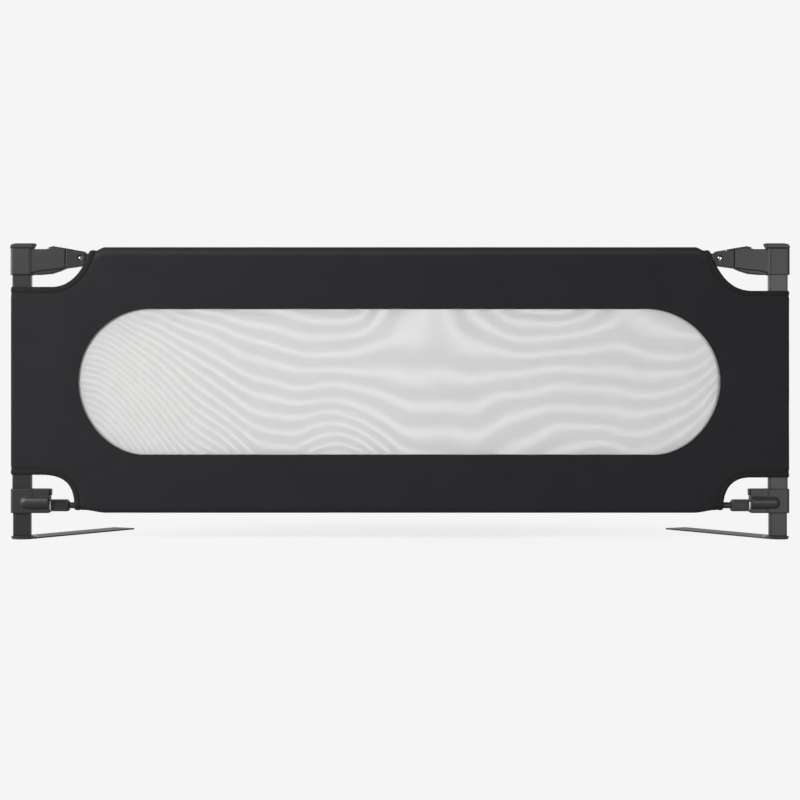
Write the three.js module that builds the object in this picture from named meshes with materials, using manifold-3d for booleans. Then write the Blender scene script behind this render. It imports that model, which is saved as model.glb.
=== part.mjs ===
// A bed guard rail 1.5 m wide: a fabric and mesh panel on two telescoping posts, each on a foot that swivels
// and lies under the mattress. Millimetres. +X runs along the rail, +Y points to the bed, +Z is up.
// The right end is drawn about its post axis, with +X outwards, and the left end is its mirror image.
import * as THREE from "three";
import { mergeVertices } from "three/addons/utils/BufferGeometryUtils.js";
import Module from "manifold-3d";

const wasm = await Module();
wasm.setup();

// Driving sizes. Places along the rail are distances inwards from the post's axis.
const fit = 0.3; // clearance between pieces that touch or slide
const overrun = 4; // how far a cutting solid passes the face that it cuts
const overlap = 1; // how far two lumps of one piece run into each other
const weld = 1e-4; // corners closer than this are one corner
const postPitch = 1457; // from post axis to post axis
const railZ = 541; // height of the top rail's axis
const lowRailZ = 64.7; // height of the lower rail's axis
const steel = 1.2; // wall of every inner and reducing tube
const cloth = { thick: 0.9, corner: 3, tape: 10, tapeExtra: 0.6 };

// The leg and its foot. The post stops short of the outer post's top by its headroom, and the stop rivet stands
// beside the base plate.
const innerPost = { width: 33, depth: 17.5, corner: 1.6, headroom: 89.6 };
const lockHole = { radius: 4.6, spacing: 66, count: 4 };
const glide = { flange: 6, stem: 22 };
const basePlate = { width: 40, depth: 28, corner: 6, thick: 2.5 };
const foot = { thick: 2.6, inner: 20, outer: 35, reach: 313, flare: 55, corner: 4, swivel: 31.4 };
const pivot = { shank: 4, sink: 7.5, head: 7, headHigh: 2.4, recess: 0.4, crownShare: 0.8 };
const stopRivet = { radius: 2, head: 3.5, high: 2.2, distance: 26.5, angle: 30.6, crownShare: 0.7 };

// The outer post: seat is how deep its foot stands in the lower bracket, and roof is the wall left over its top.
const outerPost = { width: 35.5, depth: 20, wall: 1, corner: 2, seat: 12.3, roof: 14.6 };

// The top joint. The arm's top is above the rail's axis, and the cap rises a little over the arm. The shares give
// the arm's underside from the cap to the split, as how far along and how far up it has come.
const arm = { reach: 84.5, depth: 24, above: 17, flangeDepth: 19, ramp: 5.7, bevel: 1.2 };
const armUnderShares = [[0, 0.32], [0.07, 0.34], [0.22, 0.56], [0.57, 0.71], [1, 1]];
const flangeShares = [[0, 0.045], [0.22, 0.045], [0.57, 0.2], [0.84, 0.61], [1, 0.97], [1, 1.3], [0.57, 1.06]];
const cap = { inner: 21.5, outer: 21.5, depth: 28, corner: 6, high: 51, rise: 1.6, bevel: 1 };
const lid = { gap: 0.3, high: 9.1, overhang: 4.5, depth: 27, round: 11, roundHigh: 6, bevel: 1 };
const lidPlug = { width: 24, depth: 12, deep: 7 };
const sleeve = { split: 0.9, length: 36.6, depth: 24, endDepth: 19.8, bevel: 1.2, wall: 1.3, lip: 1.6 };
const sleeveBelow = { split: 19.2, end: 14 };
const tongue = { deep: 34, high: 18, depth: 13, drop: 2 };
const endTube = { high: 21, depth: 15, corner: 1.5, drop: 1.5, inSleeve: 33, inRail: 42 };
const button = { radius: 4.7, past: 28.5, sunk: 0.4, flange: 6.2, flangeThick: 1, dome: 1.6, ring: 0.7 };
const buttonShares = { crown: 0.62, domed: 0.25 };
const leaf = { thick: 0.7, width: 8, flat: 16, nose: 9, lead: 8 };

// The lever, with its places measured from the split and its rises from the arm's top.
const lever = { thick: 2.2, width: 16, nub: 32.3, nubRise: 4.4, lip: 1.6, lipDrop: 0.5, peak: 23.8, peakRise: 5.9 };
const leverNeck = { back: 0.7, rise: 2.2 };
const hook = { back: 10.5, thick: 2.4, deep: 4.5, width: 9 };
const leverPin = { radius: 1.1, length: 20, past: 16.5, knuckle: 2.6, slotWall: 2 };

const rail = { high: 38.2, depth: 20, corner: 8.5, inset: 160.5 };
const lowRail = { high: 24.6, depth: 20, corner: 8.5, inset: 166.5 };
const railSteps = 3; // flats in each round corner of the rails and of the cover over them
const railBush = { flange: 2, deep: 30 };

// The lower joint. The bracket reaches below and above the lower rail's axis.
const bracket = { outer: 20.6, collarInner: 24, inner: 53.9, depth: 28, blockDepth: 24.6, corner: 5, bevel: 1 };
const bracketReach = { below: 14.5, above: 32.2 };
const boss = { above: 5.4, halfHigh: 11.5, bulge: 5.4, sunk: 1.5, tip: 1.5, dome: 9, arcSteps: 4 };
const socket = { long: 33.5, inset: 3.1, high: 22.4, depth: 20, chamfer: 4, bevel: 0.8 };
const spigot = { radius: 6, deep: 11.5 };
const socketWindow = { margin: 6, edge: 3.6, deep: 2.4 };
const washer = { thick: 2.4, radius: 11 };
const rod = { radius: 6, inSocket: 26, inRail: 24 };
const lockPin = { radius: 4, tip: 17.1, shoulder: 33, riser: 3, halfWidth: 5, travel: 7, foot: 4 };
const tab = { drop: 2.9, high: 8, padThick: 2.3, padHigh: 12.4, padWidth: 16, padCorner: 2 };
const lockSpring = { drop: 6.8, radius: 3, wire: 0.45, turns: 6, length: 15.4, steps: 8, sides: 5 };
const screw = { head: 3.6, headHigh: 2, shank: 1.9, drive: 1.2, driveDeep: 1, crownShare: 0.75 };
const screwDrop = { fromRail: 11, fromBracketTop: 8.9 };

// The cover. Its edge steps down near each end, and a curve cuts each corner away.
const shoulder = { topFrom: 158.5, topTo: 143.5, topDrop: 6.1, lowFrom: 162.5, lowTo: 118.5, lowRise: 5.4 };
const opening = { inset: 113, fromTop: 118.2, fromBottom: 111.1, endLong: 150, power: 2.35, arcSteps: 12 };
const net = { thick: 0.8, border: 8, bar: 2.6, rows: 5, edge: 2 };
const scallopTop = { high: 73.6, bend: 56.5, reach: 130.5, backShare: 0.43, downShare: 0.89, upShare: 0.59 };
const scallopLow = { high: 64.5, bend: 38.5, reach: 103, backShare: 0.62, downShare: 0.99, upShare: 0.29 };
const scallopSteps = 10;

// Where pieces meet, worked out from the sizes above.
const postX = postPitch / 2;
const sheetFront = rail.depth / 2 + fit + cloth.thick;
const sheetRoll = rail.corner + fit + cloth.thick;
const sheetSide = postX + outerPost.width / 2 + fit + cloth.thick;
const panelTop = railZ + rail.high / 2 + fit + cloth.thick;
const panelBottom = lowRailZ - lowRail.high / 2 - fit - cloth.thick;
const baseTop = foot.thick + fit + basePlate.thick;
const railHalf = postX - rail.inset;
const lowRailHalf = postX - lowRail.inset;
const armTop = railZ + arm.above;
const capTop = armTop + cap.rise;
const capBottom = capTop - cap.high;
const lidBottom = capTop + lid.gap;
const splitBottom = railZ - sleeveBelow.split;
const sleeveStart = arm.reach + sleeve.split;
const sleeveEnd = sleeveStart + sleeve.length;
const endTubeZ = railZ - endTube.drop;
const pinX = arm.reach + leverPin.past;
const pinZ = endTubeZ + endTube.high / 2 + 2 * fit + sleeve.wall + leverPin.knuckle;
const buttonX = arm.reach + button.past;
const bracketBottom = lowRailZ - bracketReach.below;
const bracketTop = lowRailZ + bracketReach.above;
const bossZ = lowRailZ + boss.above;
const outerPostBottom = bracketBottom + outerPost.seat;
const outerPostTop = capTop - outerPost.roof;
const innerPostTop = outerPostTop - innerPost.headroom;
const screwZ = { top: railZ - screwDrop.fromRail, low: bracketTop - screwDrop.fromBracketTop };
const tabTop = bracketTop - tab.drop;
const tabBottom = tabTop - tab.high;
const springZ = tabBottom - lockSpring.drop;
const socketOuter = bracket.inner + socket.inset;
const socketInner = socketOuter + socket.long;

const finish = {
  postPaint: new THREE.MeshStandardMaterial({ color: 0x4a4a46, roughness: 0.45, metalness: 0.2 }),
  footPaint: new THREE.MeshStandardMaterial({ color: 0x55554f, roughness: 0.4, metalness: 0.3 }),
  moulding: new THREE.MeshStandardMaterial({ color: 0x464644, roughness: 0.5, metalness: 0 }),
  darkMoulding: new THREE.MeshStandardMaterial({ color: 0x282826, roughness: 0.55, metalness: 0 }),
  nylon: new THREE.MeshStandardMaterial({ color: 0xe4e2dc, roughness: 0.5, metalness: 0 }),
  zinc: new THREE.MeshStandardMaterial({ color: 0xc4c4c0, roughness: 0.3, metalness: 1 }),
  fabric: new THREE.MeshStandardMaterial({ color: 0x302e31, roughness: 0.85, metalness: 0 }),
  tape: new THREE.MeshStandardMaterial({ color: 0x262528, roughness: 0.85, metalness: 0 }),
  mesh: new THREE.MeshStandardMaterial({ color: 0xd6d6d6, roughness: 0.8, metalness: 0 }),
};

// A closed geometry as a solid, with its shared corners merged.
function solid(geometry) {
  const bare = geometry.index ? geometry.toNonIndexed() : geometry.clone();
  bare.deleteAttribute("normal");
  bare.deleteAttribute("uv");
  const merged = mergeVertices(bare, weld);
  const vertProperties = merged.attributes.position.array;
  const triVerts = new Uint32Array(merged.index.array);
  return new wasm.Manifold(new wasm.Mesh({ numProp: 3, vertProperties, triVerts }));
}

// The solids of a list joined, less those of a second list.
function carve(parts, cuts = []) {
  const whole = parts.map(solidOf).reduce((sum, part) => sum.add(part));
  return cuts.map(solidOf).reduce((left, cut) => left.subtract(cut), whole);
}

function solidOf(shape) {
  return shape.isBufferGeometry ? solid(shape) : shape;
}

// One named mesh from a geometry or a solid.
function piece(name, shape, material) {
  let geometry = shape;
  if (!shape.isBufferGeometry) {
    const made = shape.getMesh();
    geometry = new THREE.BufferGeometry();
    geometry.setAttribute("position", new THREE.BufferAttribute(made.vertProperties, 3));
    geometry.setIndex(new THREE.BufferAttribute(made.triVerts, 1));
    geometry = geometry.toNonIndexed();
    geometry.computeVertexNormals();
  }
  const mesh = new THREE.Mesh(geometry, material);
  mesh.name = name;
  return mesh;
}

function block(x0, x1, y0, y1, z0, z1) {
  const geometry = new THREE.BoxGeometry(x1 - x0, y1 - y0, z1 - z0);
  return geometry.translate((x0 + x1) / 2, (y0 + y1) / 2, (z0 + z1) / 2);
}

// A rectangle about a point, with round corners.
function roundRect(width, high, corner, x = 0, y = 0, kind = THREE.Shape) {
  const shape = new kind();
  const a = width / 2;
  const b = high / 2;
  shape.moveTo(x - a + corner, y - b);
  shape.lineTo(x + a - corner, y - b);
  shape.absarc(x + a - corner, y - b + corner, corner, -Math.PI / 2, 0, false);
  shape.lineTo(x + a, y + b - corner);
  shape.absarc(x + a - corner, y + b - corner, corner, 0, Math.PI / 2, false);
  shape.lineTo(x - a + corner, y + b);
  shape.absarc(x - a + corner, y + b - corner, corner, Math.PI / 2, Math.PI, false);
  shape.lineTo(x - a, y - b + corner);
  shape.absarc(x - a + corner, y - b + corner, corner, Math.PI, 1.5 * Math.PI, false);
  return shape;
}

function outline(points) {
  return new THREE.Shape(points.map(([x, y]) => new THREE.Vector2(x, y)));
}

function extrude(shape, depth, bevel = 0, curveSegments = 2, bevelSegments = 1) {
  return new THREE.ExtrudeGeometry(shape, {
    depth: depth - 2 * bevel,
    bevelEnabled: bevel > 0,
    bevelSize: bevel,
    bevelThickness: bevel,
    bevelOffset: -bevel,
    bevelSegments,
    curveSegments,
  }).translate(0, 0, bevel);
}

// A plan in X and Y, raised from z0 to z1.
function upright(shape, z0, z1, bevel = 0, curveSegments = 2) {
  return extrude(shape, z1 - z0, bevel, curveSegments).translate(0, 0, z0);
}

// A side view in X and Z, given a depth in Y about a middle.
function sideways(shape, depth, bevel = 0, middle = 0, bevelSegments = 1) {
  const geometry = extrude(shape, depth, bevel, 2, bevelSegments);
  return geometry.rotateX(Math.PI / 2).translate(0, middle + depth / 2, 0);
}

// A section in Y and Z, drawn out along X from x0 to x1.
function lengthways(shape, x0, x1, curveSegments = 1) {
  const turn = new THREE.Matrix4().makeBasis(
    new THREE.Vector3(0, 1, 0),
    new THREE.Vector3(0, 0, 1),
    new THREE.Vector3(1, 0, 0),
  );
  return extrude(shape, x1 - x0, 0, curveSegments).applyMatrix4(turn).translate(x0, 0, 0);
}

function boxTube(width, high, corner, wall, middle = 0) {
  const shape = roundRect(width, high, corner, 0, middle);
  const least = corner - wall > 0 ? corner - wall : corner / 2;
  shape.holes.push(roundRect(width - 2 * wall, high - 2 * wall, least, 0, middle, THREE.Path));
  return shape;
}

// A profile of [radius, height] pairs turned about Z.
function turned(profile, sides = 16) {
  return new THREE.LatheGeometry(
    profile.map(([r, z]) => new THREE.Vector2(r, z)),
    sides,
  ).rotateX(Math.PI / 2);
}

// A round bar along Z, from z0 to z1.
function bar(radius, z0, z1, sides = 16) {
  return turned([[0, z0], [radius, z0], [radius, z1], [0, z1]], sides);
}

// Turns what runs along Z to run along X or along Y.
const alongX = (geometry) => geometry.rotateY(Math.PI / 2);
const alongY = (geometry) => geometry.rotateX(-Math.PI / 2);

// A round wire wound about the X axis from x0 to x1, as one open coil with flat ends.
function coil({ radius, wire, turns, steps, sides }, x0, x1) {
  const count = turns * steps;
  const pitch = (x1 - x0 - 2 * wire) / turns;
  const corners = [];
  for (let i = 0; i <= count; i += 1) {
    const turn = (i / steps) * 2 * Math.PI;
    const middleX = x0 + wire + (pitch * i) / steps;
    for (let j = 0; j < sides; j += 1) {
      const around = (j / sides) * 2 * Math.PI;
      const r = radius + wire * Math.cos(around);
      corners.push([middleX + wire * Math.sin(around), r * Math.cos(turn), r * Math.sin(turn)]);
    }
  }
  const faces = [];
  for (let i = 0; i < count; i += 1) {
    for (let j = 0; j < sides; j += 1) {
      const a = i * sides + j;
      const b = i * sides + ((j + 1) % sides);
      faces.push([a, b, b + sides], [a, b + sides, a + sides]);
    }
  }
  for (let j = 1; j < sides - 1; j += 1) {
    faces.push([0, j + 1, j]);
    faces.push([count * sides, count * sides + j, count * sides + j + 1]);
  }
  const geometry = new THREE.BufferGeometry();
  geometry.setAttribute("position", new THREE.Float32BufferAttribute(corners.flat(), 3));
  geometry.setIndex(faces.map(([a, b, c]) => [a, c, b]).flat());
  console.log(`lock spring: ${(pitch - 2 * wire).toFixed(2)} mm between its turns`);
  return geometry;
}

// The leg: a steel post with its lock holes, the glide in its top, the base plate welded under it and the rivet
// that the foot turns on.
function legPieces(side) {
  const post = upright(
    boxTube(innerPost.width, innerPost.depth, innerPost.corner, steel),
    baseTop,
    innerPostTop,
    0,
    1,
  );
  const holes = [];
  for (let i = 0; i < lockHole.count; i += 1) {
    const hole = alongX(bar(lockHole.radius, -innerPost.width / 2 - overrun, -innerPost.width / 4));
    holes.push(hole.translate(0, 0, bossZ + i * lockHole.spacing));
  }
  const flangeWidth = outerPost.width - 2 * outerPost.wall - fit;
  const flangeDepth = outerPost.depth - 2 * outerPost.wall - fit;
  const stemWidth = innerPost.width - 2 * steel - fit;
  const stemDepth = innerPost.depth - 2 * steel - fit;
  const flangeZ = innerPostTop + fit / 2;
  const top = upright(roundRect(flangeWidth, flangeDepth, innerPost.corner), flangeZ, flangeZ + glide.flange);
  const stem = upright(roundRect(stemWidth, stemDepth, steel), innerPostTop - glide.stem, flangeZ);
  const plateBottom = foot.thick + fit;
  const plate = upright(roundRect(basePlate.width, basePlate.depth, basePlate.corner), plateBottom, baseTop);
  const plateHole = bar(pivot.shank + fit / 2, 0, baseTop + overrun);
  const rivet = turned([
    [0, pivot.recess],
    [pivot.sink, pivot.recess],
    [pivot.shank, foot.thick],
    [pivot.shank, baseTop + fit / 2],
    [pivot.head, baseTop + fit / 2],
    [pivot.head * pivot.crownShare, baseTop + pivot.headHigh],
    [0, baseTop + pivot.headHigh],
  ]);
  return [
    piece(`${side}_inner_post`, carve([post], holes), finish.postPaint),
    piece(`${side}_post_glide`, carve([top, stem]), finish.nylon),
    piece(`${side}_base_plate`, carve([plate], [plateHole]), finish.footPaint),
    piece(`${side}_foot_pivot_rivet`, rivet, finish.zinc),
  ];
}

// The foot: a long steel plate whose round end turns under the post, with a countersunk hole for the pivot rivet
// and a small stop rivet beside the base plate. Drawn with its length along Y, then swivelled.
function footGroup(side) {
  const shape = new THREE.Shape();
  shape.moveTo(-foot.inner, 0);
  shape.absarc(0, 0, foot.inner, Math.PI, 2 * Math.PI, false);
  shape.lineTo(foot.outer, foot.flare);
  shape.lineTo(foot.outer, foot.reach - foot.corner);
  shape.absarc(foot.outer - foot.corner, foot.reach - foot.corner, foot.corner, 0, Math.PI / 2, false);
  shape.lineTo(-foot.inner + foot.corner, foot.reach);
  shape.absarc(-foot.inner + foot.corner, foot.reach - foot.corner, foot.corner, Math.PI / 2, Math.PI, false);
  const sink = turned([
    [0, -overrun],
    [pivot.sink + fit, -overrun],
    [pivot.sink + fit, pivot.recess],
    [pivot.shank + fit, foot.thick],
    [pivot.shank + fit, foot.thick + overrun],
    [0, foot.thick + overrun],
  ]);
  const stopTurn = THREE.MathUtils.degToRad(stopRivet.angle);
  const stopX = -stopRivet.distance * Math.sin(stopTurn);
  const stopY = stopRivet.distance * Math.cos(stopTurn);
  const stopHole = bar(stopRivet.radius + fit, -overrun, foot.thick + overrun).translate(stopX, stopY, 0);
  const rivet = turned(
    [
      [0, pivot.recess],
      [stopRivet.radius, pivot.recess],
      [stopRivet.radius, foot.thick + fit],
      [stopRivet.head, foot.thick + fit],
      [stopRivet.head * stopRivet.crownShare, foot.thick + stopRivet.high],
      [0, foot.thick + stopRivet.high + fit],
    ],
    14,
  ).translate(stopX, stopY, 0);
  const plate = carve([upright(shape, 0, foot.thick, 0, 6)], [sink, stopHole]);
  const group = new THREE.Group();
  group.add(piece(`${side}_foot_plate`, plate, finish.footPaint));
  group.add(piece(`${side}_foot_stop_rivet`, rivet, finish.zinc));
  group.rotation.z = THREE.MathUtils.degToRad(foot.swivel);
  return group;
}

// The outer post, which slides on the leg. Its lock hole faces the rail, and its screw holes face the bed.
function outerPostPiece(side) {
  const tube = upright(
    boxTube(outerPost.width, outerPost.depth, outerPost.corner, outerPost.wall),
    outerPostBottom,
    outerPostTop,
    0,
    1,
  );
  const pinHole = alongX(bar(lockPin.radius + fit, -outerPost.width / 2 - overrun, -outerPost.width / 4));
  const screwHoles = [screwZ.top, screwZ.low].map((z) =>
    alongY(bar(screw.shank + fit, outerPost.depth / 4, outerPost.depth, 12)).translate(0, 0, z),
  );
  return piece(
    `${side}_outer_post`,
    carve([tube], [pinHole.translate(0, 0, bossZ), ...screwHoles]),
    finish.postPaint,
  );
}

// A screw whose head lies on a bracket's face towards the bed.
function screwPiece(name, z) {
  const face = cap.depth / 2 + fit;
  const tip = outerPost.depth / 2 - outerPost.wall + fit / 2;
  const shape = turned(
    [
      [0, tip],
      [screw.shank, tip],
      [screw.shank, face],
      [screw.head, face],
      [screw.head * screw.crownShare, face + screw.headHigh],
      [screw.drive, face + screw.headHigh],
      [screw.drive, face + screw.headHigh - screw.driveDeep],
      [0, face + screw.headHigh - screw.driveDeep],
    ],
    12,
  );
  return piece(name, alongY(shape).translate(0, 0, z), finish.zinc);
}

function screwCut(z) {
  return alongY(bar(screw.shank + fit, 0, cap.depth, 12)).translate(0, 0, z);
}

// The line of the lever's upper edge, as [x, z] from the nub to the knuckle.
const nubX = arm.reach - lever.nub;
const leverLine = [
  [-nubX, armTop + lever.nubRise],
  [-nubX - lever.lip, armTop + lever.nubRise - lever.lipDrop],
  [-arm.reach + lever.peak, armTop + lever.peakRise],
  [-arm.reach + leverNeck.back, armTop + leverNeck.rise],
  [-pinX, pinZ + leverPin.knuckle],
];

// The same line lowered, which the arm and the sleeve follow under the lever.
const underLever = leverLine.map(([x, z]) => [x, z - lever.thick - fit]);
const underNeck = underLever[3][1];

// The top bracket: a moulded cap over the post, an arm towards the rail with a mouth for the sleeve's tongue, and
// a slot for the lever's hook. A narrower flange stiffens the arm from below.
function topBracket(side) {
  const plan = roundRect(cap.inner + cap.outer, cap.depth, cap.corner, (cap.outer - cap.inner) / 2, 0);
  const head = upright(plan, capBottom, capTop, cap.bevel);
  const long = arm.reach - cap.inner;
  const rise = splitBottom - capBottom;
  const placed = ([along, up]) => [-cap.inner - long * along, capBottom + rise * up];
  const under = armUnderShares.map(placed);
  const edge = flangeShares.map(placed);
  const upper = outline([
    [0, armTop],
    [0, under[0][1]],
    ...under,
    [-arm.reach, underNeck],
    underLever[2],
    underLever[1],
    [-nubX + arm.ramp, armTop],
  ]);
  const flange = outline([[0, edge[6][1]], [0, edge[0][1]], ...edge]);
  const pocket = upright(
    roundRect(outerPost.width + 2 * fit, outerPost.depth + 2 * fit, outerPost.corner + fit),
    capBottom - overrun,
    outerPostTop + fit,
  );
  const plugPocket = block(
    -lidPlug.width / 2 - fit,
    lidPlug.width / 2 + fit,
    -lidPlug.depth / 2 - fit,
    lidPlug.depth / 2 + fit,
    lidBottom - lidPlug.deep - fit,
    capTop + overrun,
  );
  const tongueTip = arm.reach - tongue.deep;
  const tongueZ = railZ - tongue.drop;
  const mouth = block(
    -arm.reach - overrun,
    -tongueTip + fit,
    -tongue.depth / 2 - fit,
    tongue.depth / 2 + fit,
    tongueZ - tongue.high / 2 - fit,
    tongueZ + tongue.high / 2 + fit,
  );
  const hookX = arm.reach - hook.back;
  const hookSlot = block(
    -hookX - hook.thick - 3 * fit,
    -hookX + 3 * fit,
    -hook.width / 2 - fit,
    hook.width / 2 + fit,
    armTop - hook.deep - lever.thick,
    armTop + overrun,
  );
  const body = carve(
    [head, sideways(upper, arm.depth, arm.bevel), sideways(flange, arm.flangeDepth, arm.bevel)],
    [pocket, plugPocket, mouth, hookSlot, screwCut(screwZ.top)],
  );
  return piece(`${side}_top_bracket`, body, finish.moulding);
}

// The lid that snaps into the top of the bracket. Its inner end slants out over the arm.
function lidPiece(side) {
  const top = lidBottom + lid.high;
  const shape = new THREE.Shape();
  shape.moveTo(-cap.inner + fit, lidBottom);
  shape.lineTo(cap.outer - fit, lidBottom);
  shape.lineTo(cap.outer - fit, top - lid.roundHigh);
  shape.quadraticCurveTo(cap.outer - fit, top - lid.bevel / 2, cap.outer - lid.round, top);
  shape.lineTo(-cap.inner - lid.overhang, top);
  const plug = block(
    -lidPlug.width / 2,
    lidPlug.width / 2,
    -lidPlug.depth / 2,
    lidPlug.depth / 2,
    lidBottom - lidPlug.deep,
    lidBottom + lid.high / 2,
  );
  return piece(`${side}_lid`, carve([sideways(shape, lid.depth, lid.bevel), plug]), finish.moulding);
}

// The rail's end sleeve: a tapering moulding with a tongue into the bracket, a mouth for the rail's end tube, a
// hole for the snap button and a slot for the lever's knuckle and pin.
function sleevePiece(side) {
  const slope = (underNeck - underLever[4][1]) / (leverPin.past + leverNeck.back);
  const slotEdge = pinX - leverPin.knuckle - leverPin.slotWall;
  const farEdge = pinX + leverPin.knuckle + overlap;
  const shape = outline([
    [-sleeveStart, splitBottom],
    [-sleeveStart, underNeck - fit],
    [-slotEdge, underNeck - slope * (slotEdge - sleeveStart) - fit],
    [-slotEdge - fit, pinZ],
    [-farEdge + fit, pinZ],
    [-farEdge, pinZ + sleeve.lip],
    [-sleeveEnd, pinZ - sleeve.wall],
    [-sleeveEnd, railZ - sleeveBelow.end],
  ]);
  const plan = outline([
    [-sleeveStart + overrun, -sleeve.depth / 2],
    [-sleeveStart + overrun, sleeve.depth / 2],
    [-sleeveStart, sleeve.depth / 2],
    [-sleeveEnd, sleeve.endDepth / 2],
    [-sleeveEnd - overrun, sleeve.endDepth / 2],
    [-sleeveEnd - overrun, -sleeve.endDepth / 2],
    [-sleeveEnd, -sleeve.endDepth / 2],
    [-sleeveStart, -sleeve.depth / 2],
  ]);
  const taper = solid(upright(plan, capBottom, lidBottom + lid.high));
  const shell = solid(sideways(shape, sleeve.depth, sleeve.bevel)).intersect(taper);
  const tongueBlock = block(
    -sleeveStart - overrun,
    -arm.reach + tongue.deep,
    -tongue.depth / 2,
    tongue.depth / 2,
    railZ - tongue.drop - tongue.high / 2,
    railZ - tongue.drop + tongue.high / 2,
  );
  const mouth = lengthways(
    roundRect(endTube.depth + 2 * fit, endTube.high + 2 * fit, endTube.corner, 0, endTubeZ),
    -sleeveEnd - overrun,
    -sleeveEnd + endTube.inSleeve + fit,
  );
  const knuckleSlot = alongY(
    bar(leverPin.knuckle + fit, -lever.width / 2 - fit, lever.width / 2 + fit),
  ).translate(-pinX, 0, pinZ);
  const slotTop = block(
    -farEdge,
    -slotEdge,
    -lever.width / 2 - fit,
    lever.width / 2 + fit,
    pinZ,
    pinZ + leverPin.knuckle + sleeve.lip,
  );
  const pinHole = alongY(
    bar(leverPin.radius + fit, -leverPin.length / 2 - fit, leverPin.length / 2 + fit, 12),
  ).translate(-pinX, 0, pinZ);
  const buttonHole = alongY(bar(button.radius + button.ring, -sleeve.depth, 0)).translate(-buttonX, 0, railZ);
  const body = carve(
    [shell, tongueBlock],
    [mouth, knuckleSlot, slotTop, pinHole, buttonHole],
  );
  return piece(`${side}_rail_sleeve`, body, finish.moulding);
}

// The lever on top of the joint: a strip with a finger nub at one end, a hook under it and a knuckle on its pin.
function leverPiece(side) {
  const under = leverLine.map(([x, z]) => [x, z - lever.thick]).reverse();
  const strip = outline([...leverLine, ...under]);
  const hookX = arm.reach - hook.back;
  const barb = block(
    -hookX - hook.thick,
    -hookX,
    -hook.width / 2,
    hook.width / 2,
    armTop - hook.deep,
    leverLine[3][1],
  );
  const knuckle = alongY(bar(leverPin.knuckle, -lever.width / 2, lever.width / 2)).translate(-pinX, 0, pinZ);
  const hole = alongY(bar(leverPin.radius + fit, -lever.width, lever.width, 12)).translate(-pinX, 0, pinZ);
  const body = carve([sideways(strip, lever.width), barb, knuckle], [hole]);
  return piece(`${side}_release_lever`, body, finish.darkMoulding);
}

function leverPinPiece(side) {
  const shape = alongY(bar(leverPin.radius, -leverPin.length / 2, leverPin.length / 2, 12));
  return piece(`${side}_lever_pin`, shape.translate(-pinX, 0, pinZ), finish.zinc);
}

// The steel tube that joins the rail to the sleeve, with the button's hole in its front wall.
function endTubePiece(side) {
  const tube = lengthways(
    boxTube(endTube.depth, endTube.high, endTube.corner, steel, endTubeZ),
    -rail.inset - endTube.inRail,
    -sleeveEnd + endTube.inSleeve,
  );
  const hole = alongY(bar(button.radius + fit, -endTube.depth, 0)).translate(-buttonX, 0, railZ);
  return piece(`${side}_rail_end_tube`, carve([tube], [hole]), finish.postPaint);
}

// The snap button comes out through the end tube and the sleeve, and a bent leaf spring behind it pushes it out.
function snapPieces(side) {
  const innerFace = -endTube.depth / 2 + steel;
  const alongShare = (buttonX - sleeveStart) / sleeve.length;
  const face = -THREE.MathUtils.lerp(sleeve.depth, sleeve.endDepth, alongShare) / 2 + button.sunk;
  const shape = turned([
    [0, face],
    [button.radius * buttonShares.crown, face + button.dome * buttonShares.domed],
    [button.radius, face + button.dome],
    [button.radius, innerFace + fit],
    [button.flange, innerFace + fit],
    [button.flange, innerFace + fit + button.flangeThick],
    [0, innerFace + fit + button.flangeThick],
  ]);
  const front = innerFace + 2 * fit + button.flangeThick;
  const back = endTube.depth / 2 - steel - fit;
  const near = -buttonX + leaf.lead;
  const bend = near - leaf.flat;
  const nose = bend - leaf.nose;
  const spring = outline([
    [near, front],
    [bend, front],
    [nose, 0],
    [near, back],
    [near, back - leaf.thick],
    [nose + 3 * leaf.thick, 0],
    [bend + leaf.thick, front + leaf.thick],
    [near, front + leaf.thick],
  ]);
  const low = railZ - leaf.width / 2;
  return [
    piece(`${side}_snap_button`, alongY(shape).translate(-buttonX, 0, railZ), finish.zinc),
    piece(`${side}_snap_spring`, upright(spring, low, low + leaf.width), finish.zinc),
  ];
}

// The nylon bush in the end of a rail, with a flange over the tube's end and a bore for what goes in.
function bushPiece(name, { high, depth, corner, inset }, middle, bore) {
  const flange = lengthways(
    roundRect(depth, high, corner, 0, middle),
    -inset,
    -inset + railBush.flange,
    railSteps,
  );
  const plugHigh = high - 2 * steel - 2 * fit;
  const plugDepth = depth - 2 * steel - 2 * fit;
  const plug = lengthways(
    roundRect(plugDepth, plugHigh, corner - steel - fit, 0, middle),
    -inset - railBush.deep,
    -inset,
    railSteps,
  );
  return piece(name, carve([flange.translate(fit, 0, 0), plug.translate(fit, 0, 0)], [bore]), finish.nylon);
}

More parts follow.
